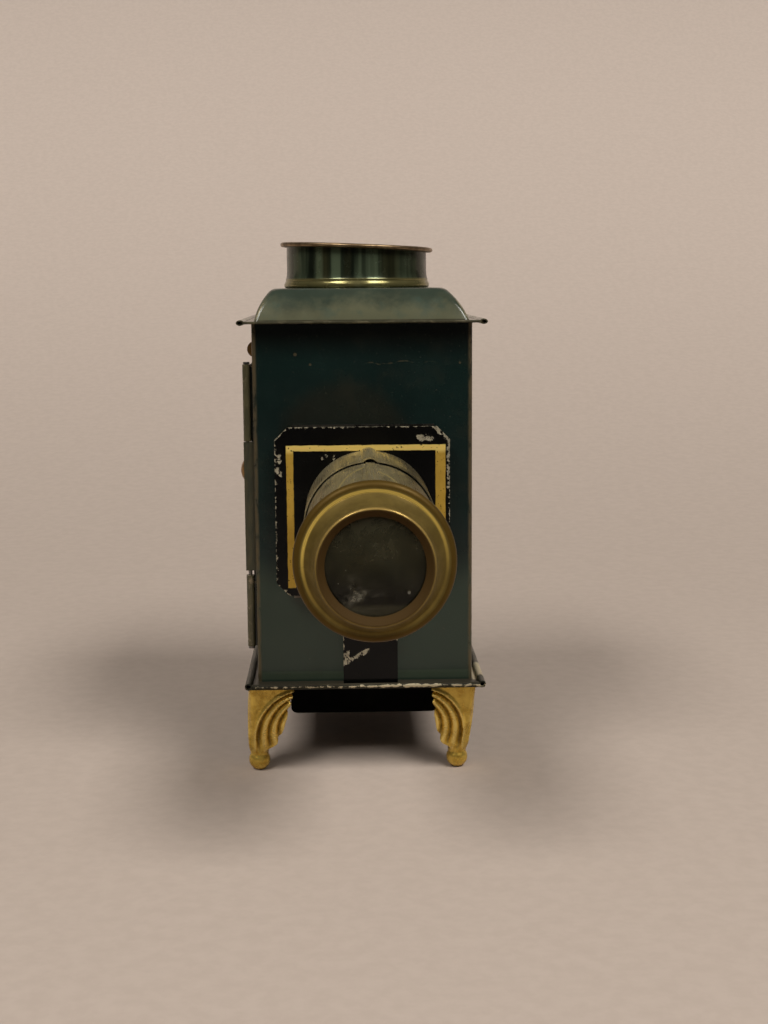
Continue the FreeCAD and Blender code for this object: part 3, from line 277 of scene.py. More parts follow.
def wrap_wear(look):
    corner = look.times(look.ramp(look.side, HALF_WIDTH - 2.2, HALF_WIDTH - 1.2),
                        look.ramp(look.y, BACK - 2.2, BACK - 0.8))
    rubbed = look.times(corner, look.ramp(look.noise(2.2, 4, stretch=(1, 1, 3)), 0.35, 0.6))
    chips = look.ramp(look.noise(2.4, 4, shift=37), 0.75, 0.79)
    return look.most(look.times(rubbed, 0.7), look.times(chips, 0.6))


BARE_FROM, BARE_ALONG = (39.9, 40.7), (-7.0, 11.0)


def base_wear(look):
    """The rolled front edge is chipped along its middle, more so to the right, and one corner is bare."""
    flakes = look.noise(1.5, 6, stretch=(1.6, 1, 1), rough=0.68)
    hem = look.ramp(look.y, BASE_LOW.y + 0.8, BASE_LOW.y + 0.3)
    off_middle = look.calc("ABSOLUTE", look.less(look.z, BASE_LOW.z + 1.2))
    chipped = look.eaten(off_middle, 4.0, flakes, look.ramp(look.x, -44, 20, 0.50, 0.40))
    ends = look.most(look.ramp(look.side, BASE_HIGH.x - 1.2, BASE_HIGH.x - 0.5),
                     look.ramp(look.y, BASE_HIGH.y - 1.2, BASE_HIGH.y - 0.5))
    bare = look.times(look.ramp(look.x, *BARE_FROM), look.band(look.y, *BARE_ALONG, 1.5),
                      look.ramp(look.z, BASE_LOW.z + 0.4, BASE_LOW.z + 0.8))
    return look.most(look.times(hem, chipped), look.times(ends, look.ramp(flakes, 0.60, 0.66)),
                     look.times(bare, look.ramp(flakes, 0.34, 0.42)))


def base_tint(look):
    """Dull olive on the rolled edge and dusty on top."""
    hem = look.ramp(look.z, BASE_LOW.z + 2.8, BASE_LOW.z + 2.2)
    return (hem, 0.75, (54, 50, 38)), (look.facing_up(), 0.6, (74, 67, 54))


HOOD_INSET = 0.9


def roof_wear(look):
    """Thin pale lines low on the hips, partly rubbed paint and partly a painted highlight; the rolled eave is
    brown.
    """
    across = look.less(HALF_WIDTH - HOOD_INSET, look.side)
    along = look.less(HALF_DEPTH - HOOD_INSET, look.calc("ABSOLUTE", look.less(look.y, LAMP_Y)))
    # The pale hip lines are partly rubbed paint and partly a painted highlight of the hip.
    hip = look.ramp(look.calc("ABSOLUTE", look.less(across, along)), 0.65, 0.3)
    low_part = look.band(look.z, ROOF_LOW.z + 2.2, ROOF_LOW.z + 8.5, 1.2)
    flakes = look.noise(2.0, 4, stretch=(2, 2, 1))
    rim = look.ramp(look.z, ROOF_LOW.z + 1.9, ROOF_LOW.z + 1.2)
    return look.most(look.times(hip, low_part, look.ramp(flakes, 0.3, 0.55)),
                     look.times(rim, look.ramp(flakes, 0.5, 0.7), 0.35))


def roof_tint(look):
    """Lighter olive down the slopes in uneven clouds, blue-green patches, darker on the eave itself."""
    level = look.plus(look.z, look.times(look.less(look.noise(11, 5, shift=15, rough=0.62), 0.5), 16.0))
    low = look.ramp(level, ROOF_HIGH.z - 1.0, ROOF_LOW.z + 2.5)
    patches = look.ramp(look.noise(8, 5, shift=25, rough=0.62), 0.5, 0.68)
    eave = look.ramp(look.z, ROOF_LOW.z + 2.0, ROOF_LOW.z + 1.5)
    return (low, 0.8, (102, 101, 77)), (patches, 0.35, (60, 80, 72)), (eave, 0.85, (52, 48, 34))


def door_wear(look):
    """Rubbed at its free edges, on the hinge barrels and bare where two barrels meet."""
    low, high = DOOR_LOW, DOOR_HIGH
    ends = look.most(look.ramp(look.z, high.z - 1.4, high.z - 0.3),
                     look.ramp(look.z, low.z + 1.4, low.z + 0.3),
                     look.ramp(look.y, high.y - 1.4, high.y - 0.3))
    flakes = look.noise(2.2, 4, shift=14)
    barrel = look.times(look.ramp(look.x, low.x + 2.2, low.x + 1.0), look.ramp(look.y, 1.0, 0.0))
    joint = look.times(look.ramp(look.y, 2.0, 1.0), look.band(look.z, low.z + 24, low.z + 28, 1.0))
    return look.most(look.times(ends, look.ramp(flakes, 0.45, 0.55), 0.7),
                     look.times(barrel, look.ramp(flakes, 0.52, 0.64), 0.4),
                     look.times(joint, look.ramp(flakes, 0.46, 0.56)))


def door_tint(look):
    """The hinge barrels are rubbed to a dull olive."""
    barrel = look.times(look.ramp(look.x, DOOR_LOW.x + 3.4, DOOR_LOW.x + 2.4), look.ramp(look.y, 1.5, 0.5))
    share = look.ramp(look.noise(2.5, 5, stretch=(1, 1, 4), shift=6), 0.25, 0.6, 0.55, 0.95)
    return ((barrel, share, (84, 78, 55)),)


def leaf_wear(look):
    """The flat leaf between the hinge barrels is rubbed dull all over."""
    return look.ramp(look.noise(1.8, 5, stretch=(1, 1, 5), rough=0.6, shift=6), 0.3, 0.7, 0.3, 0.65)


BOARD_CHAMFER, BOARD_HEIGHT = 4.8, 61.8
BOARD_TOP = BOARD_HIGH.z
BOARD_BOTTOM = BOARD_TOP - BOARD_HEIGHT
LINE_LEFT, LINE_RIGHT = (-27.9, -25.4), (26.1, 29.7)
LINE_TOP, LINE_BOTTOM = (6.65, 8.7), (2.9, 5.7)
BOARD_PATCHES = ((19.0, 25.6, 123.4, 126.6, 0.9), (-32.4, -29.4, 115.2, 119.9, 0.9),
                 (-32.4, -29.3, 111.3, 115.0, 0.9), (30.0, 32, 106, 125.0, 0.6))
FAINT_PATCH = (-16.5, -9.5, 116.6, 119.4, 0.8)
TONGUE_PATCHES = ((-8.4, -5.6, 40.8, 46.6, 0.7), (-8.4, -7.6, 40, 53, 0.4), (11.3, 12.4, 49.5, 53.0, 0.5))
FLAKE_SLOPE, FLAKE_HIGH = 0.5, 46.0
FLAKE_ACROSS, FLAKE_ALONG = (-1.3, 0.9), (-7.5, 2.2)


def gold_line(look):
    """A frame painted round the board, a little uneven and with specks of black in it."""
    wobble = look.times(look.less(look.noise(5, 3, shift=9), 0.5), 0.5)
    x, z = look.plus(look.x, wobble), look.plus(look.z, wobble)
    soft = 0.12
    outer = look.times(look.band(x, LINE_LEFT[0], LINE_RIGHT[1], soft),
                       look.band(z, BOARD_BOTTOM + LINE_BOTTOM[0], BOARD_TOP - LINE_TOP[0], soft))
    inner = look.times(look.band(x, LINE_LEFT[1], LINE_RIGHT[0], soft),
                       look.band(z, BOARD_BOTTOM + LINE_BOTTOM[1], BOARD_TOP - LINE_TOP[1], soft))
    line = look.times(outer, look.less(1.0, inner), look.ramp(look.y, BOARD_LOW.y + 2.2, BOARD_LOW.y + 1.9))
    return look.times(line, look.ramp(look.noise(1.1, 4, shift=17), 0.30, 0.36))


def board_chips(look):
    """Paint lost along the edges, in patches beside them and in an angled flake on the tongue."""
    middle, half = (BOARD_LOW.x + BOARD_HIGH.x) / 2, (BOARD_HIGH.x - BOARD_LOW.x) / 2
    flakes = look.noise(1.5, 6, shift=2.5, rough=0.7)
    from_side = look.less(half, look.calc("ABSOLUTE", look.less(look.x, middle)))
    from_top, from_bottom = look.less(BOARD_TOP, look.z), look.less(look.z, BOARD_BOTTOM)
    corners = [look.times(look.less(look.plus(from_side, end), BOARD_CHAMFER), math.sqrt(0.5))
               for end in (from_top, from_bottom)]
    edge = look.eaten(look.least(from_side, from_top, *corners), 6.0, flakes, 0.49)
    plate = look.ramp(from_bottom, -0.4, -0.1)
    right_corner = look.times(look.ramp(look.x, 22, 25), look.ramp(corners[0], 2.6, 0.8))
    patches = look.most(*(look.patch(*patch) for patch in BOARD_PATCHES),
                        look.times(look.patch(*FAINT_PATCH), 0.6), right_corner)
    slope = look.less(look.z, look.plus(look.times(look.x, FLAKE_SLOPE), FLAKE_HIGH))
    flake = look.times(look.band(slope, *FLAKE_ACROSS, 0.7), look.band(look.x, *FLAKE_ALONG, 0.9))
    tongue = look.most(*(look.patch(*patch) for patch in TONGUE_PATCHES), flake)
    ragged = look.plus(flakes, look.times(look.most(patches, tongue), 0.25))
    return look.most(look.times(plate, edge), look.ramp(ragged, 0.72, 0.75),
                     look.times(look.ramp(look.noise(1.0, 4, shift=6), 0.75, 0.78), 0.6))


def japanned():
    """Black board with a gold line painted round it, chipped at its edges and on the tongue."""
    look = Look("board_japan")
    line = gold_line(look)
    chips = board_chips(look)
    black = look.mix(look.noise(18, 4), srgb(5, 5, 5), srgb(10, 10, 9))
    line_low = BOARD_TOP - LINE_TOP[1]
    bright = look.ramp(look.z, line_low - 1.5, line_low + 0.5)
    gold = look.mix(look.noise(4, 4, shift=4), srgb(210, 172, 76), srgb(166, 130, 46))
    gold = look.mix(look.times(bright, 0.85), gold, srgb(246, 216, 122))
    tin = look.mix(look.noise(1.6, 4, shift=1), srgb(212, 204, 178), srgb(112, 102, 80))
    colour = look.mix(chips, look.mix(line, black, gold), tin)
    gloss = look.ramp(look.noise(12, 5, shift=21), 0.3, 0.75, 0.16, 0.3)
    relief = look.bump(look.noise(30, 2, shift=2), 0.5, 0.3)
    relief = look.bump(look.less(line, look.times(chips, 2.0)), 0.04, 0.7, relief)
    look.surface(Base_Color=colour, Roughness=look.blend(look.most(line, chips), gloss, 0.4), IOR=1.28,
                 Metallic=look.most(look.times(line, 0.35), look.times(chips, 0.4)), Normal=relief)
    return look.material


TUBE_FOOT = 3.4
TUBE_WALL = 0.5
TUBE_RADIUS = 27.7


def lacquered():
    """Clear green lacquer over bright metal, streaked along the tube, with a paler olive-gold foot that is a
    painted sheen.
    """
    look = Look("lacquer")
    streak = look.noise(5.5, 3, stretch=(1, 1, 30), shift=1.5)
    green = look.mix(look.ramp(streak, 0.38, 0.66), srgb(26, 32, 22), srgb(96, 108, 84))
    olive = look.ramp(look.noise(7, 3, stretch=(1, 1, 20), shift=9), 0.5, 0.75)
    green = look.mix(look.times(olive, 0.6), green, srgb(78, 76, 50))
    off_centre = look.less(look.x, CHIMNEY_X)
    edges = look.ramp(look.calc("ABSOLUTE", off_centre), 20.0, 26.0)
    shaded = look.most(look.times(edges, 0.7), look.times(look.ramp(off_centre, 5.0, 13.0), 0.5))
    green = look.mix(shaded, green, srgb(34, 35, 21))
    # Painted sheen: the flared foot is painted a paler olive-gold for the light it catches.
    foot = look.ramp(look.z, ROOF_HIGH.z + TUBE_FOOT + 0.5, ROOF_HIGH.z + TUBE_FOOT - 0.2)
    rubbed = look.times(foot, look.ramp(look.noise(5, 4, shift=3), 0.1, 0.5))
    colour = look.mix(look.times(rubbed, 0.85), green, srgb(140, 131, 84))
    bore = TUBE_RADIUS - TUBE_WALL
    inside = look.ramp(look.distance(CHIMNEY_X, look.x, LAMP_Y, look.y), bore + 0.25, bore + 0.15)
    colour = look.mix(inside, colour, srgb(38, 32, 24))
    relief = look.bump(look.noise(9, 3, stretch=(1, 1, 4)), 0.2, 0.3)
    gloss = look.ramp(look.noise(6, 4, shift=5), 0.3, 0.7, 0.14, 0.3)
    look.surface(Base_Color=colour, Metallic=look.blend(rubbed, 0.3, 0.7), IOR=1.3,
                 Roughness=look.blend(inside, gloss, 0.6), Normal=relief)
    return look.material


def metal(name, bright, dull, stain=None, roughness=(0.22, 0.45), size=7.0, relief=0.03):
    """Old bare metal: clouded tarnish, small stains and fine scratches."""
    look = Look(name)
    cloud = look.noise(size, 6, rough=0.62)
    colour = look.mix(look.ramp(cloud, 0.32, 0.68), dull, bright)
    spots = look.ramp(look.noise(size * 0.25, 5, shift=7), 0.60, 0.74)
    colour = look.mix(look.times(spots, 0.65), colour, stain or dull)
    scratch = look.noise(0.5, 3, stretch=(1, 6, 1), shift=2)
    look.surface(Base_Color=colour, Metallic=1.0, Normal=look.bump(scratch, relief, 0.5),
                 Roughness=look.ramp(cloud, 0.3, 0.7, roughness[1], roughness[0]))
    return look.material


def lens_radius(look):
    return look.distance(LENS_X, look.x, LENS_Z, look.z)


LIP_RADII, RIDGE_RADII, BEAD_RADII = (17.5, 18.1), (21.4, 22.3), (22.6, 23.2)
HOLLOW_RADII = (17.7, 17.3)


def bezel_brass():
    """Turned brass under a dull olive tarnish, with a painted highlight on its ridge, a lip partly rubbed
    bright and partly a painted highlight, brown inside.
    """
    look = Look("bezel_brass")
    radius = lens_radius(look)
    cloud = look.noise(6, 6, rough=0.62)
    olive = look.mix(look.ramp(cloud, 0.3, 0.7), srgb(94, 78, 37), srgb(114, 96, 49))
    # The lip is partly rubbed bright and partly a painted highlight, growing brighter towards its top.
    lip = look.times(look.band(radius, *LIP_RADII, 0.2),
                     look.ramp(look.y, BEZEL_LOW.y + 2.2, BEZEL_LOW.y + 0.9),
                     look.ramp(look.z, LENS_Z - 4, LENS_Z + 12, 0.2, 1.0))
    bead = look.ramp(radius, *BEAD_RADII)
    # Painted highlight on the ridge, brightest to the upper left and the top.
    up_left = look.less(look.z, look.times(look.x, 0.3))
    ridge = look.times(look.band(radius, *RIDGE_RADII, 0.35),
                       look.ramp(up_left, LENS_Z - 14, LENS_Z + 16, 0.12, 1.0))
    inner = look.times(look.ramp(radius, *HOLLOW_RADII),
                       look.ramp(look.y, BEZEL_LOW.y + 4.0, BEZEL_LOW.y + 3.0))
    colour = look.mix(look.times(bead, 0.9), olive, srgb(82, 61, 15))
    colour = look.mix(look.times(ridge, 0.9), colour, srgb(244, 208, 104))
    colour = look.mix(look.times(lip, 0.85), colour, srgb(176, 146, 82))
    colour = look.mix(inner, colour, srgb(66, 47, 16))
    spots = look.ramp(look.noise(1.6, 5, shift=7), 0.62, 0.74)
    colour = look.mix(look.times(spots, 0.4), colour, srgb(74, 58, 28))
    line = look.add("ShaderNodeCombineXYZ", {0: radius}).outputs[0]
    turned = look.add("ShaderNodeTexNoise", {"Vector": line, "Scale": 2.2, "Detail": 3.0}).outputs[0]
    normal = look.bump(turned, 0.03, 0.35)
    normal = look.bump(look.noise(0.6, 3, shift=2), 0.02, 0.4, normal)
    rough = look.blend(look.most(lip, ridge), look.ramp(cloud, 0.3, 0.7, 0.52, 0.42), 0.26)
    look.surface(Base_Color=colour, Metallic=look.less(0.35, look.times(inner, 0.35)), IOR=1.25,
                 Normal=normal, Roughness=look.blend(inner, rough, 0.75))
    return look.material


ARC_SQUASH = 0.244
SOLDER_ARCS = ((-1, 10.9), (1, 8.2))


def tube_tin(name, bore, mouth=None):
    """Aged tinplate of the lens tubes: streaked lengthwise, painted shade to the right, solder stains and a
    painted highlight along the top, black inside.

    A tube that runs in another one's mouth has a dark band there, partly grime and partly painted shadow of
    the gap.
    """
    look = Look(name)
    streak = look.noise(0.8, 4, stretch=(1, 40, 1))
    cloud = look.ramp(look.noise(7, 6, stretch=(1, 2.5, 1), rough=0.65, shift=4), 0.42, 0.72)
    colour = look.mix(look.ramp(streak, 0.3, 0.7), srgb(156, 143, 107), srgb(196, 183, 145))
    colour = look.mix(look.times(cloud, 0.6), colour, srgb(66, 58, 43))
    # Painted shade: darker towards the right side.
    colour = look.mix(look.ramp(look.x, LENS_X + 2, LENS_X + 13, 0.0, 0.6), colour, srgb(46, 40, 28))
    inside = look.ramp(lens_radius(look), bore + 0.15, bore + 0.05)
    # Near the top: solder stains by the seam, plus a painted highlight that lightens the whole top.
    near_top = look.ramp(look.z, LENS_Z + bore - 4.5, LENS_Z + bore - 2.5)
    stain = look.ramp(look.noise(3, 4, stretch=(1, 3, 1), shift=12), 0.5, 0.65, 0.1, 0.4)
    depth = look.times(look.less(look.y, BEZEL_HIGH.y), ARC_SQUASH)
    for side, reach in SOLDER_ARCS:
        arc = look.band(look.distance(LENS_X, look.x, 0.0, depth), reach, reach + 0.8, 0.3)
        this_side = look.ramp(look.times(look.less(look.x, LENS_X), side), 1.5, 2.5)
        stain = look.most(stain, look.times(arc, this_side))
    colour = look.mix(look.times(near_top, stain, 0.85), colour, srgb(226, 204, 134))
    # The dark band at the mouth is partly grime and partly painted shadow of the gap, reaching further
    # forward on the right.
    if mouth is not None:
        slant = look.ramp(look.x, LENS_X - 12, LENS_X + 12, 1.0, 2.5)
        past_mouth = look.plus(look.less(look.y, mouth), slant)
        colour = look.mix(look.band(past_mouth, 0.0, 3.0, 0.4), colour, srgb(22, 19, 15))
    look.surface(Base_Color=look.mix(inside, colour, srgb(12, 11, 10)),
                 Metallic=look.blend(inside, 0.65, 0.0), Normal=look.bump(streak, 0.04, 0.4),
                 Roughness=look.ramp(streak, 0.3, 0.7, 0.4, 0.24))
    return look.material


def gilding():
    """Gold paint on a casting: a painted highlight on the ridges; dirt and painted shade make the hollows and
    inner faces dark and brown.
    """
    look = Look("gilt")
    hollow = look.add("ShaderNodeAttribute", attribute_name="hollow").outputs["Fac"]
    cloud = look.noise(4, 5, rough=0.6)
    gold = look.mix(look.ramp(cloud, 0.3, 0.7), srgb(186, 150, 58), srgb(228, 194, 92))
    # Dirt and painted shade darken the hollows and the wings' inner faces.
    dirt_and_shade = look.ramp(look.plus(hollow, look.times(look.noise(1.2, 4, shift=4), 0.35)), 0.55, 1.2)
    colour = look.mix(look.times(dirt_and_shade, 0.8), gold, srgb(104, 76, 24))
    # Painted highlight on the ridges, where the hollow value is low.
    colour = look.mix(look.ramp(hollow, 0.3, 0.0, 0.0, 0.6), colour, srgb(246, 218, 132))
    spots = look.ramp(look.noise(0.9, 4, shift=9), 0.66, 0.76)
    colour = look.mix(look.times(spots, 0.5), colour, srgb(92, 74, 40))
    normal = look.bump(look.noise(0.8, 4, shift=2), 0.10, 0.5)
    look.surface(Base_Color=colour, Metallic=look.ramp(dirt_and_shade, 0.0, 1.0, 0.65, 0.3), Normal=normal,
                 Roughness=look.ramp(cloud, 0.3, 0.7, 0.32, 0.2))
    return look.material


def clear_glass(name, film):
    """Clear glass with a thin uneven film of dust."""
    look = Look(name)
    haze = look.times(look.ramp(look.noise(10, 5, rough=0.65, warp=0.6), 0.42, 0.75), film)
    look.surface(Base_Color=look.mix(haze, (1, 1, 1, 1), srgb(150, 140, 122)), IOR=1.5,
                 Transmission_Weight=look.less(1.0, haze), Roughness=look.ramp(haze, 0.0, 0.5, 0.03, 0.3))
    return look.material


def dusty_lens():
    """The front lens, brown with age: a thin film all over, pale smudges and grains low down, and specks."""
    look = Look("front_lens_glass")
    film = look.times(look.ramp(look.noise(11, 5, rough=0.65, warp=0.6), 0.35, 0.75, 0.25, 0.55),
                      look.ramp(look.z, LENS_Z - 12, LENS_Z + 8, 0.12, 1.3))
    low_side = look.ramp(look.distance(LENS_X - 5.6, look.x, LENS_Z - 8.0, look.z), 7.5, 1.0)
    smudge = look.times(low_side, look.ramp(look.noise(3.5, 6, rough=0.7, shift=8), 0.40, 0.66))
    specks = look.most(look.ramp(look.noise(0.8, 4, shift=6), 0.70, 0.76),
                       look.spot(LENS_X + 9.9, LENS_Z - 7.8, 0.6))
    grains = look.times(look.ramp(look.distance(LENS_X + 1.5, look.x, LENS_Z - 9.5, look.z), 4.0, 1.0),
                        look.ramp(look.noise(1.1, 5, rough=0.7, shift=18), 0.52, 0.66))
    low_edge = look.ramp(look.z, LENS_Z - 10.5, LENS_Z - 12.5, 0.0, 0.4)
    haze = look.most(film, low_edge, look.times(smudge, 0.5), look.times(grains, 0.35),
                     look.times(specks, 0.45))
    brown = look.mix(look.noise(8, 4, shift=3), srgb(82, 74, 53), srgb(72, 72, 55))
    colour = look.mix(look.most(smudge, grains, specks), brown, srgb(150, 144, 126))
    look.surface(Base_Color=colour, IOR=1.25, Transmission_Weight=look.less(1.0, haze),
                 Roughness=look.ramp(haze, 0.0, 0.6, 0.04, 0.35))
    return look.material


def silvered():
    look = Look("mirror")
    haze = look.noise(6, 5, rough=0.6)
    look.surface(Base_Color=look.mix(look.ramp(haze, 0.45, 0.8), srgb(225, 222, 212), srgb(150, 140, 118)),
                 Metallic=1.0, Roughness=look.ramp(haze, 0.3, 0.8, 0.06, 0.35),
                 Normal=look.bump(look.noise(2, 3), 0.02, 0.3))
    return look.material


def woven():
    look = Look("cotton")
    threads = {0: look.mm, "Scale": 0.9, "Distortion": 0.6}
    warp = look.add("ShaderNodeTexWave", threads, bands_direction="X").outputs[1]
    weft = look.add("ShaderNodeTexWave", threads, bands_direction="Z").outputs[1]
    thread = look.most(warp, weft)
    top = span("wick")[1].z
    burnt = look.ramp(look.z, top - 6, top - 1)
    colour = look.mix(look.times(thread, 0.6), srgb(150, 138, 110), srgb(206, 196, 168))
    look.surface(Base_Color=look.mix(burnt, colour, srgb(26, 22, 18)), Roughness=0.95,
                 Normal=look.bump(thread, 0.25, 0.8))
    return look.material


def dress(material, *nodes):
    for name in nodes:
        slots = NODES[name].data.materials
        slots.clear()
        slots.append(material)


TEAL = (srgb(12, 26, 24), srgb(17, 34, 31))
GREEN = (srgb(48, 57, 47), srgb(58, 67, 55))
roof_paint = painted("roof_paint", *GREEN, wear=roof_wear, wear_colour=srgb(150, 140, 110), tint=roof_tint)
lacquer = lacquered()
tin = tube_tin("tube_tin", DRAW_RADIUS - 0.5, span("lens_sleeve")[0].y)
gilt = gilding()

dress(painted("body_paint", *TEAL, wear=panel_wear, wear_colour=BROWN_WEAR, brush=(1, 1, 6),
              tint=panel_tint), "front_panel")
dress(painted("wrap_paint", *TEAL, wear=wrap_wear, brush=(1, 1, 6)), "body_wrap")
dress(painted("door_paint", *TEAL, wear=door_wear, wear_colour=srgb(140, 128, 104), brush=(1, 1, 6),
              tint=door_tint), "door_panel")
dress(painted("leaf_paint", *TEAL, roughness=0.3, wear=leaf_wear, wear_colour=srgb(96, 91, 68)), "hinge_leaf")
dress(painted("base_paint", *TEAL, roughness=0.3, wear=base_wear, wear_colour=srgb(214, 202, 168),
              tint=base_tint, ior=1.25), "base_plate")
# The tray is near black, partly its own black paint and partly painted shade beneath the base.
dress(painted("tray_black_and_shade", srgb(3, 3, 3), srgb(5, 5, 5), roughness=0.8, ior=1.2), "draught_tray")
dress(japanned(), "lens_board")
dress(metal("rim_brass", srgb(160, 136, 104), srgb(112, 92, 68), srgb(70, 54, 40), (0.3, 0.5), 5.0),
      "chimney_rim")
dress(bezel_brass(), "lens_bezel")
dress(metal("brass", srgb(150, 116, 60), srgb(104, 76, 36), srgb(66, 48, 26)), "burner_gallery",
      "filler_cap", "wick_knob", "wick_spindle", "wick_tube", "lens_retaining_ring")
dress(metal("worn_brass", srgb(176, 136, 82), srgb(118, 90, 54), srgb(70, 54, 34), (0.26, 0.42), 4.0),
      "door_knob", "turn_button", "turn_button_rivet")
dress(tube_tin("sleeve_tin", span("lens_sleeve")[1].x - LENS_X - 0.5), "lens_sleeve")
dress(tin, "rear_lens_rings")
dress(metal("tinplate", srgb(150, 144, 132), srgb(92, 86, 76), srgb(70, 56, 42)), "roof_collar",
      "slide_guide_upper", "slide_guide_lower", "condenser_cell", "condenser_ring", "lamp_tank",
      "reflector_bracket", "lamp_rails")
dress(metal("steel", srgb(140, 138, 134), srgb(84, 80, 76), srgb(80, 58, 40)), "hinge_pin",
      "slide_springs", "door_knob_nut")
dress(dusty_lens(), "objective_lens")
dress(clear_glass("lens_glass", 0.12), "rear_objective_lens", "condenser_lens")
dress(clear_glass("lamp_glass", 0.15), "lamp_glass")
dress(silvered(), "reflector")
dress(woven(), "wick")


# Pieces made as meshes

def new_object(name, data):
    item = bpy.data.objects.new(name, data)
    bpy.context.scene.collection.objects.link(item)
    return item


class Form:
    """A mesh gathered ring by ring, in millimetres."""

    def __init__(self):
        self.verts = []
        self.faces = []

    def ring(self, points):
        first = len(self.verts)
        self.verts.extend(points)
        return list(range(first, len(self.verts)))

    def bridge(self, one, two):
        for here, there in zip(range(len(one)), list(range(1, len(one))) + [0]):
            self.faces.append((one[here], one[there], two[there], two[here]))

    def loft(self, sections, loop=False):
        rings = [self.ring(section) for section in sections]
        following = rings[1:] + rings[:1] if loop else rings[1:]
        for one, two in zip(rings, following):
            self.bridge(one, two)
        return rings

    def cap(self, ring):
        self.faces.append(tuple(ring))

    def piece(self, name, material, body, slot, *nodes, sharp=40):
        mesh = bpy.data.meshes.new(name)
        mesh.from_pydata([Vector(point) * MM for point in self.verts], [], self.faces)
        shape = bmesh.new()
        shape.from_mesh(mesh)
        bmesh.ops.recalc_face_normals(shape, faces=shape.faces)
        shape.to_mesh(mesh)
        shape.free()
        mesh.polygons.foreach_set("use_smooth", [True] * len(mesh.polygons))
        mesh.set_sharp_from_angle(angle=math.radians(sharp))
        mesh.materials.append(material)
        item = new_object(name, mesh)
        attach(item, body)
        if nodes:
            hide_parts(*nodes)
        return item


def between(value, low, high):
    """Smooth share of the way from low to high."""
    share = min(max((value - low) / (high - low), 0.0), 1.0)
    return share * share * (3 - 2 * share)


def follow(value, points):
    """Height of a broken line at the given value."""
    for (start, low), (end, high) in zip(points, points[1:]):
        if value <= end:
            return low + (high - low) * max(value - start, 0.0) / (end - start)
    return points[-1][1]


# Feet: two fluted wings that meet at a knee, an ankle and a ball

FOOT_TOP = BASE_LOW.z
FOOT_LEVELS = 72
WING_POINTS = 96
WING_THICK = 2.6
WING_TIP, TIP_TAPER = 1.3, 5
KNEE_ROUND = 3.2
INNER_ROUND = 1.0
WING_WIDTHS = [(6.5, 8.4), (8.0, 9.2), (10.3, 10.2), (15.1, 12.5), (21.3, 14.4), (26.8, 16.0), (32.6, 17.4)]
FAN_ALONG, FAN_HIGH = 22.2, 12.1
FIRST_RIDGE, LOBE_STEP, LOBE_SPREAD = 19.3, 2.4, 0.026
RIDGE_SHARE, RIDGE_FADE = 0.28, 1.6
FAN_START = 120.0
RELIEF, EDGE_RELIEF = 0.75, 0.45
INSIDE_SHADE, STEM_SHADE = 0.6, 0.35
KNEE_BULGE, KNEE_HIGH, KNEE_SPAN = 0.15, 22.0, 12.0
MELT_HIGH, MELT_LOW = 11.0, 6.4
BALL_RADIUS, BALL_HIGH = 4.0, 3.7
ANKLE_HIGH, ANKLE_LOW = (10.0, 4.2), (6.2, 3.3)
ANKLE_RIBS, RIB_DEPTH, RIB_SHADE = 6, 0.22, 1.6
RIBS_FROM, RIBS_FULL = 6.4, 8.5
STEM_START = math.radians(135)
LEAN_MARGIN = 0.5


def flute(along, z):
    """A wing's relief: a thin ridge beside the plain knee, then round lobes with grooves between."""
    reach = math.hypot(along - FAN_ALONG, z - FAN_HIGH)
    turn = math.degrees(math.atan2(z - FAN_HIGH, along - FAN_ALONG)) % 360
    if reach >= FIRST_RIDGE:
        return 1 - between(reach, FIRST_RIDGE, FIRST_RIDGE + RIDGE_FADE)
    share = (FIRST_RIDGE - reach) / (LOBE_STEP + LOBE_SPREAD * (turn - FAN_START))
    if share < RIDGE_SHARE:
        return 1 - 2 * math.sin(math.pi / 2 * share / RIDGE_SHARE)
    return 2 * abs(math.sin(math.pi * (share - RIDGE_SHARE))) - 1


def knee_path(width, hub, radius, start, way_round):
    """Places along two straight wings and the round knee between them, with the way out from the knee."""
    straight, bend = width - hub, radius * math.pi / 2
    first, last = (1, 0) if way_round > 0 else (0, 1)
    for step in range(WING_POINTS):
        way = (2 * straight + bend) * step / (WING_POINTS - 1)
        turn = start + way_round * min(max((way - straight) / bend, 0.0), 1.0) * math.pi / 2
        place = Vector((hub + radius * math.cos(turn), hub + radius * math.sin(turn)))
        place[first] += max(straight - way, 0.0)
        place[last] += max(way - straight - bend, 0.0)
        yield place, Vector((math.cos(turn), math.sin(turn)))


def wing_outline(z):
    """One level of the two wings, as local places with their relief: outside, then back inside."""
    width = follow(z, WING_WIDTHS)
    width += EDGE_RELIEF * flute(width, z)
    bulge = KNEE_BULGE * max(1 - ((z - KNEE_HIGH) / KNEE_SPAN) ** 2, 0.0)
    outline = []
    for place, outward in knee_path(width, KNEE_ROUND, KNEE_ROUND, math.pi, 1):
        relief = flute(max(place.x, place.y), z)
        outline.append((place + outward * (RELIEF * relief + bulge - RELIEF), (1 - relief) / 2))
    for place, outward in knee_path(width, WING_THICK + INNER_ROUND, INNER_ROUND, 1.5 * math.pi, -1):
        thin = between(max(place.x, place.y), width - TIP_TAPER, width) * (WING_THICK - WING_TIP)
        outline.append((place + outward * thin, INSIDE_SHADE))
    return outline


def stem_radius(z):
    ball = math.sqrt(max(BALL_RADIUS ** 2 - (z - BALL_HIGH) ** 2, 0.0))
    ankle = follow(z, [ANKLE_LOW, ANKLE_HIGH])
    return max(ball, ankle) if z > BALL_HIGH else ball


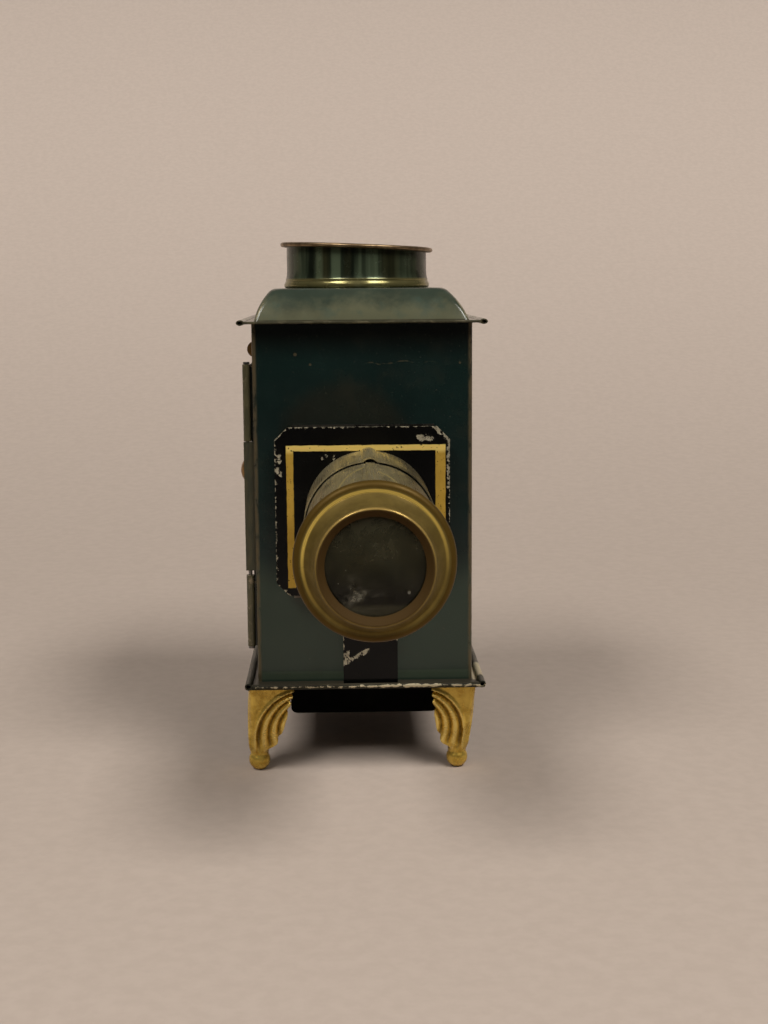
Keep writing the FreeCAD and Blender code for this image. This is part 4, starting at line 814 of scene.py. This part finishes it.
def stem_outline(z, ball):
    """One level of the ankle or ball, point for point beside the wings' outline."""
    outline = []
    radius = stem_radius(z)
    for step in range(2 * WING_POINTS):
        turn = STEM_START + FULL_TURN * step / (2 * WING_POINTS)
        rib = between(z, RIBS_FROM, RIBS_FULL) * RIB_DEPTH * math.cos(ANKLE_RIBS * turn)
        place = ball + Vector((math.cos(turn), math.sin(turn))) * (radius + rib)
        outline.append((place, STEM_SHADE - rib * RIB_SHADE))
    return outline


def foot(node):
    low, high = span(node)
    sole = SOLES[node + "_sole"]
    outer = Vector((low.x if sole.x < 0 else high.x, low.y if sole.y < LAMP_Y else high.y))
    inward = Vector((1 if sole.x < 0 else -1, 1 if sole.y < LAMP_Y else -1))
    ball = Vector((abs(sole.x - outer.x), abs(sole.y - outer.y)))
    gap = Vector((max(reach - BALL_RADIUS - LEAN_MARGIN, 0.0) for reach in ball))
    form = Form()
    sections, hollows = [], []
    for level in range(FOOT_LEVELS + 1):
        z = FOOT_TOP * (1 - level / FOOT_LEVELS)
        melt = 1 - between(z, MELT_LOW, MELT_HIGH)
        lean = gap * min((FOOT_TOP - z) / (FOOT_TOP - MELT_HIGH), 1.0)
        section = []
        for (wing, deep), (stem, shade) in zip(wing_outline(max(z, MELT_LOW)), stem_outline(z, ball)):
            place = (wing + lean).lerp(stem, melt)
            section.append((outer.x + inward.x * place.x, outer.y + inward.y * place.y, z))
            hollows.append(deep + (shade - deep) * melt)
        sections.append(section)
    rings = form.loft(sections)
    form.cap(rings[0])
    form.cap(rings[-1])
    item = form.piece(node + "_casting", gilt, "house", "gilt", node, sharp=60)
    item.data.attributes.new("hollow", "FLOAT", "POINT").data.foreach_set("value", hollows)


# Roof: a hipped hood with a round shoulder on a thin eave with rolled edges

HOOD_SHOULDER = 4.0
HOOD_STEEP, HOOD_SOFT = math.radians(75), math.radians(45)
EAVE_MIDDLE = ROOF_LOW.z + 0.95
EAVE_HALF_SHEET = 0.35
SHEET = 0.8
ROLL_HALF = (1.45, 1.0)
ROLL_WALL = 0.42
HEM_HALF = (0.8, 0.5)
HIP_ROUND = (1.2, 3.6)
DENT_DEPTH, DENT_SIZE = 0.25, 22
CROWN_STEPS = 4
EAVE_CORNER = 0.3
ROLL_WAVE, ROLL_WAVE_SIZE = 0.05, 9
ROLL_OVERLAP = 0.6


def rectangle_ring(half_x, half_y, corner, z, edge_steps=14, corner_steps=6):
    """Points round a rectangle with rounded corners, centred on the lamp house."""
    corners = []
    for quarter, (sign_x, sign_y) in enumerate(((1, 1), (-1, 1), (-1, -1), (1, -1))):
        hub = Vector((sign_x * (half_x - corner), LAMP_Y + sign_y * (half_y - corner), z))
        turns = [math.pi / 2 * (quarter + step / corner_steps) for step in range(corner_steps + 1)]
        corners.append([hub + corner * Vector((math.cos(turn), math.sin(turn), 0)) for turn in turns])
    ring = []
    for here, there in zip(corners, corners[1:] + corners[:1]):
        ring += here
        ring += [here[-1].lerp(there[0], step / edge_steps) for step in range(1, edge_steps)]
    return ring


def hood_profile(rise):
    """Inset and height up the hood: a long swell from the eave, then the shoulder into the flat crown."""
    shoulder_rise = HOOD_SHOULDER * (1 - math.cos(HOOD_SOFT))
    swell = (rise - shoulder_rise) / (math.cos(HOOD_SOFT) - math.cos(HOOD_STEEP))
    profile = [(0.0, 0.0)]
    for radius, start, end, steps in ((swell, HOOD_STEEP, HOOD_SOFT, 10), (HOOD_SHOULDER, HOOD_SOFT, 0.0, 8)):
        inset, height = profile[-1]
        for step in range(1, steps + 1):
            turn = start + (end - start) * step / steps
            profile.append((inset + radius * (math.sin(start) - math.sin(turn)),
                            height + radius * (math.cos(turn) - math.cos(start))))
    return profile


def dent(point, depth, size):
    return depth * noise.noise(Vector(point) / size)


def roof_hood():
    rise = ROOF_HIGH.z - EAVE_MIDDLE
    form = Form()
    outer_rings = None
    for shell in (0.0, SHEET):
        sections = []
        for inset, height in hood_profile(rise - shell):
            share = height / rise
            corner = HIP_ROUND[0] + (HIP_ROUND[1] - HIP_ROUND[0]) * share
            half_x, half_y = (half - HOOD_INSET - shell - inset for half in (HALF_WIDTH, HALF_DEPTH))
            ring = rectangle_ring(half_x, half_y, corner, EAVE_MIDDLE + height)
            depth = DENT_DEPTH * share * (1 - share)
            sections.append([point + Vector((CHIMNEY_X * share, 0, dent(point, depth, DENT_SIZE)))
                             for point in ring])
        crown = sections[-1]
        mouth = []
        for point in crown:
            turn = math.atan2(point.y - LAMP_Y, point.x - CHIMNEY_X)
            mouth.append(Vector((CHIMNEY_X + COLLAR_RADIUS * math.cos(turn),
                                 LAMP_Y + COLLAR_RADIUS * math.sin(turn), point.z)))
        for step in range(1, CROWN_STEPS + 1):
            sections.append([point.lerp(hole, step / CROWN_STEPS) for point, hole in zip(crown, mouth)])
        rings = form.loft(sections)
        if outer_rings:
            form.bridge(rings[0], outer_rings[0])
            form.bridge(outer_rings[-1], rings[-1])
        outer_rings = rings
    form.piece("roof_hood", roof_paint, "house", "roof_paint", "roof", sharp=50)


def oval(centre, across, half_wide, half_high, points=28):
    ring = []
    for step in range(points):
        turn = FULL_TURN * step / points
        ring.append(centre + across * half_wide * math.cos(turn) + Vector((0, 0, half_high * math.sin(turn))))
    return ring


def rolled_edge(form, start, end, across, half, wall=0.0, slices=40):
    """A rolled edge between two places; with a wall it is a tube, open at both ends."""
    outside, inside = [], []
    for step in range(slices + 1):
        centre = start.lerp(end, step / slices)
        wide, high = half[0], half[1] * (1 + ROLL_WAVE * noise.noise(centre / ROLL_WAVE_SIZE))
        outside.append(oval(centre, across, wide, high))
        inside.append(oval(centre, across, wide - wall, high - wall))
    if wall:
        form.loft(outside + inside[::-1], loop=True)
    else:
        rings = form.loft(outside)
        form.cap(rings[0])
        form.cap(rings[-1])


def roof_eave():
    form = Form()
    out_x, out_y = ROOF_HIGH.x - ROLL_HALF[0], ROOF_HIGH.y - LAMP_Y - HEM_HALF[0]
    in_x, in_y = HALF_WIDTH - HOOD_INSET - SHEET, HALF_DEPTH - HOOD_INSET - SHEET
    top, bottom = EAVE_MIDDLE + EAVE_HALF_SHEET, EAVE_MIDDLE - EAVE_HALF_SHEET
    corners = ((out_x, out_y, top), (in_x, in_y, top), (in_x, in_y, bottom), (out_x, out_y, bottom))
    form.loft([rectangle_ring(half_x, half_y, EAVE_CORNER, z) for half_x, half_y, z in corners], loop=True)
    for side in (-1, 1):
        x = side * out_x
        rolled_edge(form, Vector((x, ROOF_LOW.y, EAVE_MIDDLE)), Vector((x, ROOF_HIGH.y, EAVE_MIDDLE)),
                    Vector((1, 0, 0)), ROLL_HALF, ROLL_WALL)
        y = LAMP_Y + side * out_y
        inner = out_x - ROLL_HALF[0] * ROLL_OVERLAP
        rolled_edge(form, Vector((-inner, y, EAVE_MIDDLE)), Vector((inner, y, EAVE_MIDDLE)),
                    Vector((0, 1, 0)), HEM_HALF)
    form.piece("roof_eave", roof_paint, "house", "roof_paint", sharp=50)


# Chimney: a slightly wavy tube with a beaded foot, cut level with its tilted rim

TUBE_STEPS, TUBE_POINTS = 18, 144
RIM_TILT = math.radians(2.4)
TILT_FROM = 4.0
TUBE_BEAD = [(0.0, 0.5), (0.25, 0.92), (0.8, 1.15), (1.5, 1.1), (2.2, 0.8), (2.7, 0.52), (3.0, 0.5),
             (3.25, 0.62), (3.5, 0.5), (4.0, 0.26), (5.0, 0.1), (6.5, 0.0)]
WAVE_DEPTH, WAVE_ROUND, WAVE_HIGH = 0.14, 2.6, 30
WAVE_FROM, WAVE_FULL = 2.0, 6.0


def chimney():
    form = Form()
    sections = []
    heights = [height for height, _ in TUBE_BEAD]
    foot_height, body_height = heights[-1], (RIM_LOW.z + RIM_HIGH.z) / 2 - ROOF_HIGH.z
    heights += [foot_height + (body_height - foot_height) * step / TUBE_STEPS
                for step in range(1, TUBE_STEPS + 1)]
    for shell, levels in ((0.0, heights), (TUBE_WALL, heights[::-1])):
        for height in levels:
            ring = []
            for step in range(TUBE_POINTS):
                turn = FULL_TURN * step / TUBE_POINTS
                aim = Vector((math.cos(turn), math.sin(turn), 0))
                share = between(height, TILT_FROM, body_height)
                place = Vector((WAVE_ROUND * aim.x, WAVE_ROUND * aim.y, height / WAVE_HIGH))
                wave = WAVE_DEPTH * noise.noise(place) * between(height, WAVE_FROM, WAVE_FULL)
                radius = TUBE_RADIUS + follow(height, TUBE_BEAD) + wave * (1 - share) - shell
                drop = -math.tan(RIM_TILT) * radius * aim.x * share
                ring.append((CHIMNEY_X + radius * aim.x, LAMP_Y + radius * aim.y,
                             ROOF_HIGH.z + height + drop))
            sections.append(ring)
    form.loft(sections, loop=True)
    form.piece("chimney_pipe", lacquer, "chimney", "lacquer", "chimney_tube", sharp=60)


# Draw tube: thin tin with a folded seam along its top

DRAW_WALL = 0.5
DRAW_INSET = 0.06
SEAM = [(0.0, 0.55), (0.35, 0.52), (0.5, 0.24), (0.65, 0.52), (1.5, 0.5), (1.7, 0.17), (3.0, 0.17),
        (3.15, 0.0)]
SEAM_HALF, SEAM_STEPS, ROUND_STEPS, DRAW_SLICES = 3.3, 60, 120, 30
SWAY, SWAY_ROUND, SWAY_LONG = 0.04, 3, 14


def draw_tube():
    form = Form()
    seam_turn = SEAM_HALF / DRAW_RADIUS
    turns = [seam_turn * (2 * step / SEAM_STEPS - 1) for step in range(SEAM_STEPS)]
    turns += [seam_turn + (FULL_TURN - 2 * seam_turn) * step / ROUND_STEPS for step in range(ROUND_STEPS)]
    outside, inside = [], []
    for step in range(DRAW_SLICES + 1):
        y = DRAW_LOW.y + (DRAW_HIGH.y - DRAW_LOW.y) * step / DRAW_SLICES
        outer, inner = [], []
        for turn in turns:
            aim = Vector((math.sin(turn), 0, math.cos(turn)))
            sway = SWAY * noise.noise(Vector((aim.x * SWAY_ROUND, y / SWAY_LONG, aim.z * SWAY_ROUND)))
            height = follow(abs(turn) * DRAW_RADIUS, SEAM)
            hub = Vector((LENS_X, y, LENS_Z))
            outer.append(hub + aim * (DRAW_RADIUS - DRAW_INSET + height + sway * (height == 0.0)))
            inner.append(hub + aim * (DRAW_RADIUS - DRAW_WALL))
        outside.append(outer)
        inside.append(inner)
    form.loft(outside + inside[::-1], loop=True)
    form.piece("draw_tube_tin", tin, "lens_draw", "tinplate", "draw_tube", sharp=35)


for name in ("foot_front_left", "foot_front_right", "foot_rear_left", "foot_rear_right"):
    foot(name)
roof_hood()
roof_eave()
chimney()
draw_tube()


# Floor, light and camera

BEND_STEPS = 24
NEAR_END = (-310.0, -600.0)
GLOW_FROM, GLOW_FULL, GLOW = 50, 1900, 0.5
PANEL_WIDE, PANEL_LONG = 1.1, 2.8
PANEL_SIDE, PANEL_Y, PANEL_HIGH = 1.7, -2.0, 3.0
WARM_WHITE, WARM_SKY = (1, 0.98, 0.95), (1.0, 0.95, 0.9, 1)
SKY_RISE = (-0.1, 0.9)
CAMERA_PLACE = Vector((-7.678, -547.186, 179.908))
FILM_WIDTH, FOCAL_LENGTH, NEAREST = 36.0, 52.34, 0.01


def backdrop():
    """A pale paper sweep: floor in front, darkened at its near end as painted shade, rising smoothly behind.
    """
    front, depth, bend, height, half = -1.6, 0.3, 2.5, 3.2, 3.0
    path = [(front, 0.0)]
    for step in range(BEND_STEPS + 1):
        turn = math.pi / 2 * step / BEND_STEPS
        path.append((depth + bend * math.sin(turn), bend * (1 - math.cos(turn))))
    path.append((depth + bend, height))
    verts = [(side * half, y, z) for y, z in path for side in (-1, 1)]
    faces = [(2 * i, 2 * i + 1, 2 * i + 3, 2 * i + 2) for i in range(len(path) - 1)]
    mesh = bpy.data.meshes.new("backdrop")
    mesh.from_pydata(verts, [], faces)
    mesh.polygons.foreach_set("use_smooth", [True] * len(faces))
    sweep = new_object("backdrop", mesh)
    look = Look("backdrop")
    fibre = look.noise(6, 4, rough=0.6)
    paper = look.mix(look.ramp(fibre, 0.3, 0.7), srgb(186, 170, 157), srgb(191, 175, 162))
    # Painted shade: the paper darkens towards its near end.
    near_end = look.ramp(look.y, *NEAR_END)
    rays = look.add("ShaderNodeLightPath").outputs
    seen = look.most(rays["Is Camera Ray"], rays["Is Glossy Ray"], rays["Is Transmission Ray"])
    glow = look.times(seen, look.ramp(look.y, GLOW_FROM, GLOW_FULL, 0.0, GLOW))
    look.surface(Base_Color=look.mix(near_end, paper, srgb(64, 58, 53)), Roughness=0.85,
                 Specular_IOR_Level=0.2, Emission_Color=paper, Emission_Strength=glow)
    mesh.materials.append(look.material)


def ceiling_light(name, x, power):
    """A long soft panel that shines straight down."""
    data = bpy.data.lights.new(name, "AREA")
    data.shape = "RECTANGLE"
    data.size, data.size_y = PANEL_WIDE, PANEL_LONG
    data.energy = power
    data.color = WARM_WHITE
    new_object(name, data).location = (x, PANEL_Y, PANEL_HIGH)


def surroundings(horizon, zenith):
    """Soft even light, dim near the horizon and brighter overhead."""
    world = bpy.data.worlds.new("studio")
    bpy.context.scene.world = world
    world.use_nodes = True
    tree = world.node_tree
    sky = tree.nodes["Background"]
    place = tree.nodes.new("ShaderNodeTexCoord")
    split = tree.nodes.new("ShaderNodeSeparateXYZ")
    tree.links.new(place.outputs["Generated"], split.inputs[0])
    rise = tree.nodes.new("ShaderNodeMapRange")
    for socket, value in zip(rise.inputs[1:5], (*SKY_RISE, horizon, zenith)):
        socket.default_value = value
    tree.links.new(split.outputs[2], rise.inputs[0])
    sky.inputs[0].default_value = WARM_SKY
    tree.links.new(rise.outputs[0], sky.inputs[1])


def photograph():
    yaw, pitch, roll = -0.028, -0.152, 0.007
    data = bpy.data.cameras.new("camera")
    data.sensor_width = FILM_WIDTH
    data.lens = FOCAL_LENGTH
    data.clip_start = NEAREST
    camera = new_object("camera", data)
    camera.location = CAMERA_PLACE * MM
    aim = Matrix.Rotation(yaw, 3, "Z") @ Matrix.Rotation(math.pi / 2 + pitch, 3, "X")
    camera.rotation_euler = (aim @ Matrix.Rotation(-roll, 3, "Z")).to_euler()
    bpy.context.scene.camera = camera


backdrop()
ceiling_light("right_panel", PANEL_SIDE, 128)
ceiling_light("left_panel", -PANEL_SIDE, 99)
surroundings(0.03, 0.10)
photograph()
bpy.context.scene.view_settings.view_transform = "Standard"
